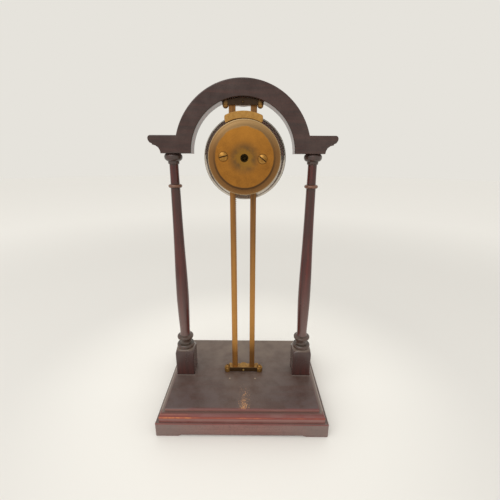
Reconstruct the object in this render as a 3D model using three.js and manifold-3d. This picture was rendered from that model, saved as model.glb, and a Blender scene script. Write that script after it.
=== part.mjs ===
// Rack clock: a turned wooden stand with two upright brass bars, and a drum clock that sinks down them by
// its own weight and drives its train from the rack cut in one of the bars.
// Millimetres, +Z up. The dial faces -Y, the back cover +Y. The origin is under the middle of the base.
import * as THREE from "three";
import { mergeVertices } from "three/addons/utils/BufferGeometryUtils.js";
import Module from "manifold-3d";

const wasm = await Module();
wasm.setup();

// Base
const BASE_WIDTH = 132.0;
const BASE_DEPTH = 100.2;
const PLINTH_TOP = 11.8;
const BASE_TOP = 21.5;
const FOOT = 17.5;
const APRON_RISE = 1.3;

// Moulded edge of the base's top board: a fillet, a quarter round, a second fillet and a small bevel.
// The ledge that it leaves on the plinth is broader at the sides than at the front and back.
const EDGE_INSET = 1.2;
const SIDE_LEDGE_EXTRA = 1.5;
const FILLET_TOP = 15.3;
const ROUND_REACH = 2.7;
const ROUND_RISE = 3.6;
const ROUND_STEPS = 5;
const STEP_INSET = 5.1;
const BEVEL = 0.3;

// Columns and the screws that hold them from below
const COLUMN_X = 50.7;
const BLOCK = 15.5;
const BLOCK_TOP = 46.5;
const BLOCK_SHOULDER = { radius: 7.2, reach: 11.2, drop: 2.9 };
const SPIGOT_RADIUS = 2.4;
const SPIGOT_LENGTH = 6;
const COLUMN_SCREW_HEAD = 3.2;
const COLUMN_SCREW_SHANK = 1.6;
const COLUMN_SCREW_TOP = 40.5;
const COLUMN_SEGMENTS = 24;

// Arch and its ledges
const SPRING = 207.3;
const ARCH_OUTER = 48.0;
const ARCH_OUTER_CENTRE = 207.0;
const ARCH_INNER = 36.6;
const ARCH_THICK = 14.4;
const LEDGE_TOP = 219.4;
const LEDGE_HALF = 66.4;

// Bars and their brackets
const BAR_X = 7.55;
const BAR_THICK = 3.4;
const RACK_WIDTH = 4.7;
const GUIDE_WIDTH = 4.4;
const BAR_BOTTOM = 22.4;
const BAR_TOP = 241.2;
const BOTTOM_BRACKET = { half: 12.3, ear: 14.2, earRadius: 2.7, shoulder: 11.6 };
const TOP_BRACKET = { half: 11.0, ear: 12.0, earRadius: 2.25, shoulder: 10.3 };
const BRACKET_NEAR = 3.3;
const BRACKET_FAR = -2.6;
const BRACKET_THICK = 4.2;
const BRACKET_SCREW_Y = 1.9;
const BRACKET_SCREW_BORE = 1.0;
const TOP_BRACKET_UNDERSIDE = 239.0;

// Drum: its axis runs along Y
const DRUM_X = -1.2;
const DRUM_Z = 204.3;
const DRUM_RADIUS = 30.0;
const DRUM_BACK = -2.3;
const DRUM_SHOULDER = [[25.7, DRUM_BACK], [26.6, -2.65], [28.5, -4.1], [29.6, -5.4], [DRUM_RADIUS, -6.6]];
const DRUM_SEGMENTS = 48;
const COVER_RADIUS = 25.25;
const COVER_SCREWS = [
  { side: "right", place: [13.22, 205.19], slotAt: 14 },
  { side: "left", place: [-13.71, 203.71], slotAt: -38 },
];
const BRIDGE_X = -0.56;
const BRIDGE_OUTER = 31;
const BRIDGE_INNER = 26.3;
const PLATE_RADIUS = 23.3;
const FRONT_PLATE_RADIUS = 28.4;

// Train: teeth and modules
const RACK_MODULE = 0.5;
const RACK_LEAVES = 12;
const RACK_FROM = 40;
const RACK_TO = 199;
const GREAT_TEETH = 40;
const CENTRE_LEAVES = 10;
const GREAT_MODULE = 0.5;
const CENTRE_TEETH = 48;
const THIRD_LEAVES = 6;
const CENTRE_MODULE = 0.4;
const THIRD_TEETH = 45;
const FOURTH_LEAVES = 6;
const THIRD_MODULE = 0.35;
const FOURTH_TEETH = 48;
const ESCAPE_LEAVES = 6;
const FOURTH_MODULE = 0.3;
const ESCAPE_TEETH = 15;
const CANNON_LEAVES = 10;
const MINUTE_TEETH = 30;
const MINUTE_LEAVES = 8;
const HOUR_TEETH = 32;
const MOTION_MODULE = 0.375;
const RATCHET_TEETH = 16;
const MINUTE_HAND_AT = 60;
const HOUR_HAND_AT = 305;

// The third wheel and the fourth pinion stand this much further apart than their pitch circles
const OPEN_MESH = 0.6;

// Arbors and their bores
const MAIN_ARBOR = 0.9;
const MAIN_BORE = 1.02;
const MAIN_SEAT = 0.96;
const SMALL_ARBOR = 0.5;
const SMALL_BORE = 0.58;
const SMALL_SEAT = 0.56;

// Levels of the movement along Y
const FRONT_PLATE = [-7.4, -6.2];
const MIDDLE_PLATE = [2.2, 3.2];
const BACK_PLATE = [9.2, 10.4];
const DIAL = [-10.3, -9.8];
const GREAT_WHEEL = [-5.2, -4.2];
const CENTRE_PINION = [-5.7, -3.8];
const RATCHET_WHEEL = [-3.9, -3.1];
const CLICK = [-4.15, -3.2];
const RACK_PINION = [-1.5, 1.5];
const CENTRE_WHEEL = [4.0, 4.7];
const THIRD_PINION = [3.6, 5.2];
const THIRD_WHEEL = [6.0, 6.6];
const FOURTH_PINION = [5.7, 6.9];
const FOURTH_WHEEL = [7.5, 8.1];
const ESCAPE_PINION = [7.2, 8.4];
const ESCAPE_WHEEL = [5.4, 5.9];
const CANNON_PINION = [-8.5, -7.7];
const CANNON_PIPE = [-12.95, -7.7];
const MINUTE_WHEEL = [-8.4, -7.8];
const MINUTE_PINION = [-9.4, -8.2];
const HOUR_WHEEL = [-9.3, -8.75];
const HOUR_PIPE = [-11.95, -8.8];
const MINUTE_HAND = [-12.85, -12.45];
const HOUR_HAND = [-11.8, -11.4];
const SMALL_ARBORS = [2.3, 10.3];
const BALANCE_RIM = [7.3, 8.1];
const HAIRSPRING = [8.4, 8.85];

const material = (color, roughness, metalness) =>
  new THREE.MeshStandardMaterial({ color, roughness, metalness });
const MAHOGANY = material(0x50382f, 0.45, 0);
const BRASS = material(0xa87b38, 0.35, 1);
const NICKEL = material(0xb9b8b3, 0.15, 1);
const STEEL = material(0x8d9094, 0.3, 1);
const BLUED = material(0x20263a, 0.3, 1);
const ENAMEL = material(0xf1eee4, 0.4, 0);
const GLASS = material(0xdfe8e6, 0.05, 0);
GLASS.transparent = true;
GLASS.opacity = 0.25;

const clock = new THREE.Group();
clock.name = "rack_clock";

const radians = (degrees) => (degrees * Math.PI) / 180;
const steps = (count) => Array.from({ length: count }, (_, i) => i);
const SIDES = [["right", 1], ["left", -1]];

// A closed geometry as a solid, its vertices joined by place alone and its faces turned outwards.
function solid(geometry) {
  const flat = geometry.index ? geometry.toNonIndexed() : geometry;
  const bare = new THREE.BufferGeometry();
  bare.setAttribute("position", flat.getAttribute("position"));
  const merged = mergeVertices(bare, 1e-4);
  const points = merged.attributes.position.array;
  const index = merged.index.array;
  const corners = [];
  const a = new THREE.Vector3();
  const b = new THREE.Vector3();
  const c = new THREE.Vector3();
  let volume = 0;
  for (let i = 0; i < index.length; i += 3) {
    const [p, q, r] = [index[i], index[i + 1], index[i + 2]];
    if (p === q || q === r || r === p) continue;
    corners.push(p, q, r);
    a.fromArray(points, 3 * p);
    b.fromArray(points, 3 * q);
    c.fromArray(points, 3 * r);
    volume += a.dot(b.cross(c));
  }
  if (volume < 0) corners.reverse();
  const triVerts = new Uint32Array(corners);
  return new wasm.Manifold(new wasm.Mesh({ numProp: 3, vertProperties: points, triVerts }));
}

function geometryOf(manifold) {
  const mesh = manifold.getMesh();
  const geometry = new THREE.BufferGeometry();
  geometry.setAttribute("position", new THREE.BufferAttribute(new Float32Array(mesh.vertProperties), 3));
  geometry.setIndex(new THREE.BufferAttribute(new Uint32Array(mesh.triVerts), 1));
  return geometry;
}

const join = (...pieces) => geometryOf(pieces.map(solid).reduce((a, b) => a.add(b)));
const cut = (piece, ...tools) => geometryOf(tools.map(solid).reduce((a, b) => a.subtract(b), solid(piece)));
const common = (a, b) => geometryOf(solid(a).intersect(solid(b)));

function add(name, geometry, finish) {
  const smooth = geometryOf(solid(geometry));
  smooth.computeVertexNormals();
  const mesh = new THREE.Mesh(smooth, finish);
  mesh.name = name;
  clock.add(mesh);
}

function box(x0, x1, y0, y1, z0, z1) {
  const g = new THREE.BoxGeometry(x1 - x0, y1 - y0, z1 - z0);
  return g.translate((x0 + x1) / 2, (y0 + y1) / 2, (z0 + z1) / 2);
}

// A turned solid: profile of [radius, height], closed to the axis, upright on Z or lying along Y.
function turned(profile, segments, along) {
  const points = profile.map(([r, h]) => new THREE.Vector2(r, h));
  const first = points[0];
  const last = points[points.length - 1];
  if (first.x > 0) points.unshift(new THREE.Vector2(0, first.y));
  if (last.x > 0) points.push(new THREE.Vector2(0, last.y));
  const g = new THREE.LatheGeometry(points, segments);
  return along === "z" ? g.rotateX(Math.PI / 2) : g;
}

// A turned ring along Y: its profile closes on itself.
function ring(profile, segments) {
  const points = [...profile, profile[0]].map(([r, h]) => new THREE.Vector2(r, h));
  return new THREE.LatheGeometry(points, segments);
}

const rod = (radius, from, to, segments, along) => turned([[radius, from], [radius, to]], segments, along);

// A flat outline drawn in X and Z, with thickness from y0 to y1.
function plate(shape, y0, y1, curveSegments = 12) {
  const g = new THREE.ExtrudeGeometry(shape, { depth: y1 - y0, bevelEnabled: false, curveSegments });
  return g.rotateX(Math.PI / 2).translate(0, y1, 0);
}

const outline = (points) => new THREE.Shape(points.map(([x, y]) => new THREE.Vector2(x, y)));
const polar = (r, degrees) => [r * Math.cos(radians(degrees)), r * Math.sin(radians(degrees))];
const angleTo = (a, b) => (Math.atan2(b[1] - a[1], b[0] - a[0]) * 180) / Math.PI;
const at = (geometry, place, y = 0) => geometry.translate(place[0], y, place[1]);

function from(start, distance, degrees) {
  const [x, z] = polar(distance, degrees);
  return [start[0] + x, start[1] + z];
}

// A bar of an outline: from one point to another, half its width to each side.
function strip(start, end, half) {
  const [x, z] = polar(half, angleTo(start, end) + 90);
  return outline([
    [start[0] + x, start[1] + z],
    [start[0] - x, start[1] - z],
    [end[0] - x, end[1] - z],
    [end[0] + x, end[1] + z],
  ]);
}

// A board with a moulded edge: levels of [inset from the base's outline, height].
function mouldedBoard(levels) {
  const points = [];
  levels.forEach(([inset, z]) => {
    const x = BASE_WIDTH / 2 - SIDE_LEDGE_EXTRA - inset;
    const y = BASE_DEPTH / 2 - inset;
    points.push(-x, -y, z, x, -y, z, x, y, z, -x, y, z);
  });
  const top = 4 * (levels.length - 1);
  const faces = [0, 2, 1, 0, 3, 2, top, top + 1, top + 2, top, top + 2, top + 3];
  for (let i = 0; i < top; i += 4) {
    for (let k = 0; k < 4; k += 1) {
      const n = (k + 1) % 4;
      faces.push(i + k, i + n, i + 4 + n, i + k, i + 4 + n, i + 4 + k);
    }
  }
  const g = new THREE.BufferGeometry();
  g.setAttribute("position", new THREE.BufferAttribute(new Float32Array(points), 3));
  g.setIndex(faces);
  return g;
}

// A toothed outline about the origin, with a tooth's middle at the angle phase (from +X towards +Z).
// A wheel's teeth are pointed, and a pinion's leaves have a narrow flat tip.
function gearOutline(teeth, module, phase, leaves) {
  const pitch = (module * teeth) / 2;
  const step = 360 / teeth;
  const root = pitch - 1.25 * module;
  const tip = pitch + (leaves ? 0.7 : 0.95) * module;
  const rootHalf = (leaves ? 0.2 : 0.33) * step;
  const tipHalf = 0.1 * step;
  const points = [];
  steps(teeth).forEach((i) => {
    const middle = phase + i * step;
    points.push(polar(root, middle - rootHalf));
    if (leaves) points.push(polar(tip, middle - tipHalf), polar(tip, middle + tipHalf));
    else points.push(polar(tip, middle));
    points.push(polar(root, middle + rootHalf));
  });
  return outline(points);
}

function withBore(shape, radius) {
  const hole = new THREE.Path();
  hole.absarc(0, 0, radius, 0, 2 * Math.PI, true);
  shape.holes.push(hole);
  return shape;
}

const BORE_STEPS = 5;
const wheel = (teeth, module, phase, bore, level) =>
  plate(withBore(gearOutline(teeth, module, phase, false), bore), ...level, BORE_STEPS);
const pinion = (leaves, module, phase, level) => plate(gearOutline(leaves, module, phase, true), ...level);

// The phase of a wheel that shows a gap to a tooth coming at it along the given direction.
const gapFacing = (teeth, degrees) => degrees + 180 + 180 / teeth;

// Arbor places in X and Z
const pitchSum = (module, teeth, leaves) => (module * (teeth + leaves)) / 2;
const rackInner = BAR_X - RACK_WIDTH / 2;
const rackBack = BAR_X + RACK_WIDTH / 2;
const CENTRE = [DRUM_X, DRUM_Z];
const mainX = rackInner + 0.7 * RACK_MODULE - (RACK_MODULE * RACK_LEAVES) / 2;
const greatReach = pitchSum(GREAT_MODULE, GREAT_TEETH, CENTRE_LEAVES);
const MAIN = [mainX, DRUM_Z - Math.sqrt(greatReach ** 2 - (mainX - DRUM_X) ** 2)];
const THIRD = from(CENTRE, pitchSum(CENTRE_MODULE, CENTRE_TEETH, THIRD_LEAVES), 200);
const FOURTH = from(THIRD, pitchSum(THIRD_MODULE, THIRD_TEETH, FOURTH_LEAVES) + OPEN_MESH, 85);
const ESCAPE = from(FOURTH, pitchSum(FOURTH_MODULE, FOURTH_TEETH, ESCAPE_LEAVES), 55);
const PALLET = from(ESCAPE, 5.65, -5);
const BALANCE = from(PALLET, 7.2, -20);
const MINUTE = from(CENTRE, pitchSum(MOTION_MODULE, MINUTE_TEETH, CANNON_LEAVES), 90);

// Wooden base: a plinth board on four corner feet, and a moulded board on it
const columnHoles = (radius, z0, z1) =>
  SIDES.map(([, s]) => rod(radius, z0, z1, 12, "z").translate(s * COLUMN_X, 0, 0));
const screwHoles = ({ ear }, z0, z1) =>
  SIDES.map(([, s]) => rod(BRACKET_SCREW_BORE, z0, z1, 8, "z").translate(s * ear, BRACKET_SCREW_Y, 0));
const columnScrewBore = COLUMN_SCREW_SHANK + 0.3;
const halfWidth = BASE_WIDTH / 2;
const halfDepth = BASE_DEPTH / 2;
const apron = join(
  box(-halfWidth + FOOT, halfWidth - FOOT, -BASE_DEPTH, BASE_DEPTH, -1, APRON_RISE),
  box(-BASE_WIDTH, BASE_WIDTH, -halfDepth + FOOT, halfDepth - FOOT, -1, APRON_RISE),
);
const plinth = cut(
  box(-halfWidth, halfWidth, -halfDepth, halfDepth, 0, PLINTH_TOP),
  apron,
  ...columnHoles(COLUMN_SCREW_HEAD + 0.4, -1, 5),
  ...columnHoles(columnScrewBore, 4, 20),
);
add("base_plinth", plinth, MAHOGANY);
const edge = [[EDGE_INSET, PLINTH_TOP], [EDGE_INSET, FILLET_TOP]];
steps(ROUND_STEPS).forEach((i) => {
  const t = radians((90 * (i + 1)) / ROUND_STEPS);
  edge.push([EDGE_INSET + ROUND_REACH * (1 - Math.cos(t)), FILLET_TOP + ROUND_RISE * Math.sin(t)]);
});
edge.push([STEP_INSET, FILLET_TOP + ROUND_RISE], [STEP_INSET, BASE_TOP - 2 * BEVEL]);
edge.push([STEP_INSET + BEVEL, BASE_TOP]);
const topBoard = cut(
  mouldedBoard(edge),
  ...columnHoles(columnScrewBore, 10, 30),
  ...screwHoles(BOTTOM_BRACKET, BASE_TOP - 7.8, BASE_TOP + 1),
);
add("base_top_board", topBoard, MAHOGANY);

// Turned columns on square blocks: [radius, height]
const columnProfile = [
  [6.9, BLOCK_TOP - 1],
  [6.9, BLOCK_TOP],
  [7.45, 48.1],
  [6.6, 49.8],
  [5.0, 50.3],
  [4.75, 52.4],
  [5.1, 54.3],
  [6.8, 55.7],
  [6.5, 57.1],
  [4.6, 57.9],
  [4.15, 61.0],
  [4.6, 75.5],
  [5.0, 95.0],
  [4.75, 114.0],
  [4.2, 134.0],
  [3.75, 157.0],
  [3.48, 182.9],
  [5.1, 184.0],
  [5.1, 184.7],
  [3.35, 185.8],
  [3.25, 199.6],
  [3.75, 200.3],
  [4.4, 201.5],
  [5.0, 202.5],
  [5.9, 203.6],
  [6.25, 205.0],
  [5.3, SPRING],
  [SPIGOT_RADIUS, SPRING],
  [SPIGOT_RADIUS, SPRING + SPIGOT_LENGTH],
];
const columnScrewProfile = [
  [COLUMN_SCREW_HEAD, 2.4],
  [COLUMN_SCREW_SHANK, 4.8],
  [COLUMN_SCREW_SHANK, COLUMN_SCREW_TOP - 1.5],
  [0.3, COLUMN_SCREW_TOP],
];
// The lathe has turned the block's top corners down to a sloping shoulder.
const shoulderProfile = [
  [BLOCK_SHOULDER.reach, BASE_TOP - 1],
  [BLOCK_SHOULDER.reach, BLOCK_TOP - BLOCK_SHOULDER.drop],
  [BLOCK_SHOULDER.radius, BLOCK_TOP],
];
SIDES.forEach(([side, s]) => {
  const square = box(-BLOCK / 2, BLOCK / 2, -BLOCK / 2, BLOCK / 2, BASE_TOP, BLOCK_TOP);
  const block = common(square, turned(shoulderProfile, COLUMN_SEGMENTS, "z"));
  const pilot = rod(COLUMN_SCREW_SHANK + 0.15, BASE_TOP - 1, COLUMN_SCREW_TOP + 0.5, 10, "z");
  const column = cut(join(block, turned(columnProfile, COLUMN_SEGMENTS, "z")), pilot);
  add("column_" + side, column.translate(s * COLUMN_X, 0, 0), MAHOGANY);
  const screw = turned(columnScrewProfile, 10, "z");
  add("column_screw_" + side, screw.translate(s * COLUMN_X, 0, 0), STEEL);
});

// Arch with moulded ledges
const ledge = [
  [LEDGE_HALF - 1.7, LEDGE_TOP],
  [LEDGE_HALF - 0.6, LEDGE_TOP - 0.5],
  [LEDGE_HALF, LEDGE_TOP - 1.8],
  [LEDGE_HALF - 0.2, LEDGE_TOP - 3.3],
  [LEDGE_HALF - 1.2, LEDGE_TOP - 4.9],
  [LEDGE_HALF - 2.9, LEDGE_TOP - 5.7],
  [LEDGE_HALF - 2.9, LEDGE_TOP - 6.3],
  [LEDGE_HALF - 5.2, LEDGE_TOP - 6.9],
  [LEDGE_HALF - 7.1, LEDGE_TOP - 8.3],
  [LEDGE_HALF - 8.1, LEDGE_TOP - 10.2],
  [LEDGE_HALF - 8.4, SPRING],
];
const springAngle = Math.asin((LEDGE_TOP - ARCH_OUTER_CENTRE) / ARCH_OUTER);
const archShape = new THREE.Shape();
archShape.moveTo(...ledge[0]);
archShape.absarc(0, ARCH_OUTER_CENTRE, ARCH_OUTER, springAngle, Math.PI - springAngle, false);
ledge.forEach(([x, z]) => archShape.lineTo(-x, z));
archShape.absarc(0, SPRING, ARCH_INNER, Math.PI, 0, true);
[...ledge].reverse().forEach(([x, z]) => archShape.lineTo(x, z));
const arch = cut(
  plate(archShape, -ARCH_THICK / 2, ARCH_THICK / 2, 20),
  ...columnHoles(SPIGOT_RADIUS + 0.2, SPRING - 1, SPRING + SPIGOT_LENGTH + 0.3),
  ...screwHoles(TOP_BRACKET, TOP_BRACKET_UNDERSIDE - 3, TOP_BRACKET_UNDERSIDE + 9.4),
);
add("arch", arch, MAHOGANY);

// Brass brackets that hold the bars' ends: an oblong body with two screw ears, two shoulders and a bulge
const barSpaces = (sideways, y0, y1, z0, z1) => [
  box(rackInner - sideways, rackBack + sideways, y0, y1, z0, z1),
  box(-BAR_X - GUIDE_WIDTH / 2 - sideways, -BAR_X + GUIDE_WIDTH / 2 + sideways, y0, y1, z0, z1),
];
const BRACKET_SLOT = 0.1;
const bracketSlots = barSpaces(
  BRACKET_SLOT,
  -BAR_THICK / 2 - BRACKET_SLOT,
  BAR_THICK / 2 + BRACKET_SLOT,
  BASE_TOP - 1,
  SPRING + ARCH_INNER,
);
const PIN_RISE = 2.1;
function bracket(size, z0, z1) {
  const lobes = SIDES.flatMap(([, s]) => [
    rod(size.earRadius, z0 + 0.04, z1 - 0.04, 16, "z").translate(s * size.ear, BRACKET_SCREW_Y, 0),
    rod(1.6, z0 + 0.08, z1 - 0.08, 10, "z").translate(s * size.shoulder, -2, 0),
  ]);
  const body = join(
    box(-size.half, size.half, BRACKET_FAR, BRACKET_NEAR, z0, z1),
    rod(3.4, z0 + 0.06, z1 - 0.06, 16, "z").translate(0, -1, 0),
    ...lobes,
  );
  const pinHole = at(rod(0.9, 0.4, BRACKET_NEAR + 0.7, 8, "y"), [0, z0 + PIN_RISE]);
  return cut(body, ...screwHoles(size, z0 - 1, z1 + 1), ...bracketSlots, pinHole);
}
add("bottom_bracket", bracket(BOTTOM_BRACKET, BASE_TOP, BASE_TOP + BRACKET_THICK), BRASS);
const soffit = at(rod(ARCH_INNER - 0.12, -20, 20, 96, "y"), [0, SPRING]);
add("top_bracket", common(bracket(TOP_BRACKET, TOP_BRACKET_UNDERSIDE, 246), soffit), BRASS);
const pinProfile = [[0.75, 0.6], [0.8, 3.6], [0.5, 4]];
[["bottom", BASE_TOP], ["top", TOP_BRACKET_UNDERSIDE]].forEach(([end, z]) => {
  add(end + "_bracket_pin", at(turned(pinProfile, 8, "y"), [0, z + PIN_RISE]), STEEL);
});
const roundHead = [[0.85, -7.4], [0.85, 0.05], [2.0, 0.05], [1.95, 0.8], [1.4, 1.75], [0.6, 2.1]];
SIDES.forEach(([side, s]) => {
  const low = turned(roundHead, 12, "z");
  const high = turned(roundHead, 12, "z").rotateX(Math.PI);
  const lowAt = [s * BOTTOM_BRACKET.ear, BRACKET_SCREW_Y, BASE_TOP + BRACKET_THICK];
  const highAt = [s * TOP_BRACKET.ear, BRACKET_SCREW_Y, TOP_BRACKET_UNDERSIDE];
  add("bottom_bracket_screw_" + side, low.translate(...lowAt), BRASS);
  add("top_bracket_screw_" + side, high.translate(...highAt), BRASS);
});

// Upright bars: one with fine rack teeth on its inner edge, one plain
const rackPitch = Math.PI * RACK_MODULE;
const rackRoot = rackInner + 2.6 * RACK_MODULE;
const rackPoints = [[rackBack, BAR_TOP], [rackInner, BAR_TOP]];
const gapsAbove = Math.floor((RACK_TO - MAIN[1]) / rackPitch);
const gapsBelow = Math.floor((MAIN[1] - RACK_FROM) / rackPitch);
for (let i = gapsAbove; i >= -gapsBelow; i -= 1) {
  const z = MAIN[1] + i * rackPitch;
  rackPoints.push([rackInner, z + 0.38 * rackPitch], [rackRoot, z], [rackInner, z - 0.38 * rackPitch]);
}
rackPoints.push([rackInner, BAR_BOTTOM], [rackBack, BAR_BOTTOM]);
add("rack_bar", plate(outline(rackPoints), -BAR_THICK / 2, BAR_THICK / 2), BRASS);
const [, guideBar] = barSpaces(0, -BAR_THICK / 2, BAR_THICK / 2, BAR_BOTTOM, BAR_TOP);
add("guide_bar", guideBar, BRASS);

// Drum: nickel pan and bezel, glass and dial
const pan = [[24.7, DRUM_BACK], ...DRUM_SHOULDER, [DRUM_RADIUS, -9.5]];
pan.push([28.9, -9.5], [28.9, -6.6], [28.4, -5.3], [27.5, -4.2], [26.6, -3.55], [25.6, -3.4], [24.7, -3.4]);
add("drum_case", at(ring(pan, DRUM_SEGMENTS), CENTRE), NICKEL);
const bezel = [
  [27.6, -9.7],
  [31.0, -9.7],
  [30.9, -12.0],
  [29.6, -13.8],
  [27.4, -14.8],
  [25.9, -15.0],
  [25.3, -14.6],
  [26.4, -14.2],
  [26.6, -12.6],
  [27.6, -12.3],
];
add("front_bezel", at(ring(bezel, DRUM_SEGMENTS), CENTRE), NICKEL);
const GLASS_THICK = 0.55;
const crystal = [[0, -14.95], [14, -14.7], [26.1, -13.95]];
const crystalBack = crystal.map(([r, y]) => [r, y + GLASS_THICK]).reverse();
add("bezel_glass", at(turned([...crystal, ...crystalBack], DRUM_SEGMENTS, "y"), CENTRE), GLASS);
const dialProfile = [[2.2, DIAL[0]], [27.3, DIAL[0]], [27.3, DIAL[1]], [2.2, DIAL[1]]];
add("dial", at(ring(dialProfile, DRUM_SEGMENTS), CENTRE), ENAMEL);

// Dished back cover with its centre hole, notches for the bars, and two slotted screws
const coverProfile = [
  [COVER_RADIUS, -2.15],
  [COVER_RADIUS, 10.9],
  [25.05, 11.5],
  [24.4, 11.7],
  [23.6, 11.8],
  [22.4, 12.4],
  [21.3, 13.2],
  [20.2, 13.75],
  [2.7, 13.75],
  [2.7, 12.9],
  [19.9, 12.9],
  [22.2, 11.3],
  [24.1, 10.6],
  [24.1, -2.15],
];
const coverNotches = barSpaces(0.3, -4, 2.1, 150, 250);
const coverScrewHoles = COVER_SCREWS.map(({ place }) => at(rod(1.6, 12, 15, 10, "y"), place));
const cover = at(ring(coverProfile, DRUM_SEGMENTS), CENTRE);
add("back_cover", cut(cover, ...coverNotches, ...coverScrewHoles), BRASS);
const coverScrewProfile = [[1.4, 9.3], [1.4, 13.8], [2.98, 13.8], [2.98, 14.6], [2.5, 15.1], [1.4, 15.3]];
COVER_SCREWS.forEach(({ side, place, slotAt }) => {
  const slot = box(-4, 4, 14.5, 16, -0.4, 0.4).rotateY(radians(slotAt));
  add("cover_screw_" + side, at(cut(turned(coverScrewProfile, 16, "y"), slot), place), BRASS);
});

// Crescent bridge behind the bars, on two posts: its ends are rounded
const crescent = [];
steps(9).forEach((i) => crescent.push(polar(BRIDGE_OUTER, 65 + (50 * i) / 8)));
crescent.push(polar(30.3, 116.8), polar(28.6, 117.7), polar(26.9, 117.5), polar(BRIDGE_INNER, 116.3));
steps(9).forEach((i) => crescent.push(polar(BRIDGE_INNER, 115 - (50 * i) / 8)));
crescent.push(polar(BRIDGE_INNER, 63.7), polar(26.9, 62.5), polar(28.6, 62.3), polar(30.3, 63.2));
add("guide_bridge", at(plate(outline(crescent), 2.3, 5.3), [BRIDGE_X, DRUM_Z]), BRASS);
const POST_GAP = 0.06;
const shoulderSpace = [[0.5, DRUM_BACK], ...DRUM_SHOULDER, [DRUM_RADIUS, -9.5], [0.5, -9.5]];
const shoulderRoom = ring(shoulderSpace.map(([r, y]) => [r + POST_GAP, y + POST_GAP]), DRUM_SEGMENTS);
const underPosts = at(shoulderRoom, CENTRE);
SIDES.forEach(([side, s]) => {
  const place = [BRIDGE_X + s * 11.64, DRUM_Z + 25.9];
  add("bridge_post_" + side, cut(at(rod(0.9, -7, 2.25, 8, "y"), place), underPosts), BRASS);
});

// Movement frame: three plates, pillars, and shoes that ride on the bars
const bored = (places, radius, [y0, y1]) => places.map((p) => at(rod(radius, y0 - 1, y1 + 1, 8, "y"), p));
const PILLARS = [[18, 7], [-20, 2], [-13, -16]].map(([u, w]) => [DRUM_X + u, DRUM_Z + w]);
const PILLAR_RADIUS = 1.5;
const smallArbors = [THIRD, FOURTH, ESCAPE, PALLET, BALANCE];
const minuteStud = at(rod(0.6, MINUTE_PINION[0], -7, 10, "y"), MINUTE);
const frontDisc = join(at(rod(FRONT_PLATE_RADIUS, ...FRONT_PLATE, 36, "y"), CENTRE), minuteStud);
add("front_plate", cut(frontDisc, ...bored([MAIN, CENTRE], MAIN_BORE, FRONT_PLATE)), BRASS);
const middlePlate = cut(
  at(rod(PLATE_RADIUS, ...MIDDLE_PLATE, 32, "y"), CENTRE),
  ...bored([MAIN, CENTRE], MAIN_BORE, MIDDLE_PLATE),
  ...bored(smallArbors, SMALL_BORE, MIDDLE_PLATE),
  ...bored(PILLARS, PILLAR_RADIUS + 0.18, MIDDLE_PLATE),
);
add("middle_plate", middlePlate, BRASS);
const backPlate = cut(
  at(rod(PLATE_RADIUS, ...BACK_PLATE, 32, "y"), CENTRE),
  ...bored([CENTRE], 2.5, BACK_PLATE),
  ...bored(smallArbors, SMALL_BORE, BACK_PLATE),
  ...bored(COVER_SCREWS.map(({ place }) => place), 1.56, BACK_PLATE),
);
add("back_plate", backPlate, BRASS);
const pillarProfile = [
  [1.8, FRONT_PLATE[1] + 0.05],
  [1.8, MIDDLE_PLATE[0] - 0.05],
  [PILLAR_RADIUS, MIDDLE_PLATE[0] - 0.05],
  [PILLAR_RADIUS, BACK_PLATE[0] - 0.05],
];
PILLARS.forEach((place, i) => {
  add("pillar_" + (i + 1), at(turned(pillarProfile, 10, "y"), place), BRASS);
});
[30, 150, 270].forEach((d, i) => {
  const pillar = rod(1.2, FRONT_PLATE[1] + 0.05, -3.8, 8, "y");
  add("case_pillar_" + (i + 1), at(pillar, from(CENTRE, 25.9, d)), BRASS);
});
const SHOE_SLIP = 0.08;
const shoeBack = MIDDLE_PLATE[0] - 0.05;
const shoeSlots = barSpaces(SHOE_SLIP, -BAR_THICK / 2 - SHOE_SLIP, BAR_THICK / 2 + SHOE_SLIP, 150, 250);
[["upper", 14], ["lower", -17]].forEach(([name, w]) => {
  const shoe = box(-11.2, -3.9, -2.9, shoeBack, DRUM_Z + w - 2.5, DRUM_Z + w + 2.5);
  add(name + "_guide_shoe", cut(shoe, shoeSlots[1]), BRASS);
});
const rackShoe = box(rackBack + SHOE_SLIP, rackBack + 3.3, -2, shoeBack, MAIN[1] - 4, MAIN[1] + 4);
add("rack_shoe", rackShoe, BRASS);

// Main arbor with the rack pinion, great wheel, ratchet and click
const greatLine = angleTo(MAIN, CENTRE);
const rackPinion = pinion(RACK_LEAVES, RACK_MODULE, 0, RACK_PINION);
add("main_arbor", at(join(rod(MAIN_ARBOR, -7.3, 3.1, 10, "y"), rackPinion), MAIN), STEEL);
const greatWheel = wheel(GREAT_TEETH, GREAT_MODULE, greatLine, MAIN_SEAT, GREAT_WHEEL);
add("great_wheel", at(greatWheel, MAIN), BRASS);
const ratchetStep = 360 / RATCHET_TEETH;
const ratchetPoints = [];
steps(RATCHET_TEETH).forEach((i) => {
  ratchetPoints.push(polar(5, i * ratchetStep), polar(4.1, i * ratchetStep + 3));
});
const ratchet = plate(withBore(outline(ratchetPoints), MAIN_SEAT), ...RATCHET_WHEEL, BORE_STEPS);
add("ratchet_wheel", at(ratchet, MAIN), STEEL);
const click = outline([
  [5.3, -2.6],
  [6.1, -3.2],
  [7.3, -1.5],
  [7.3, 0.4],
  [5.2, 0.5],
  [5.6, -0.2],
  [6.3, -1.0],
]);
add("click", at(plate(click, ...CLICK), MAIN), STEEL);

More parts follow.
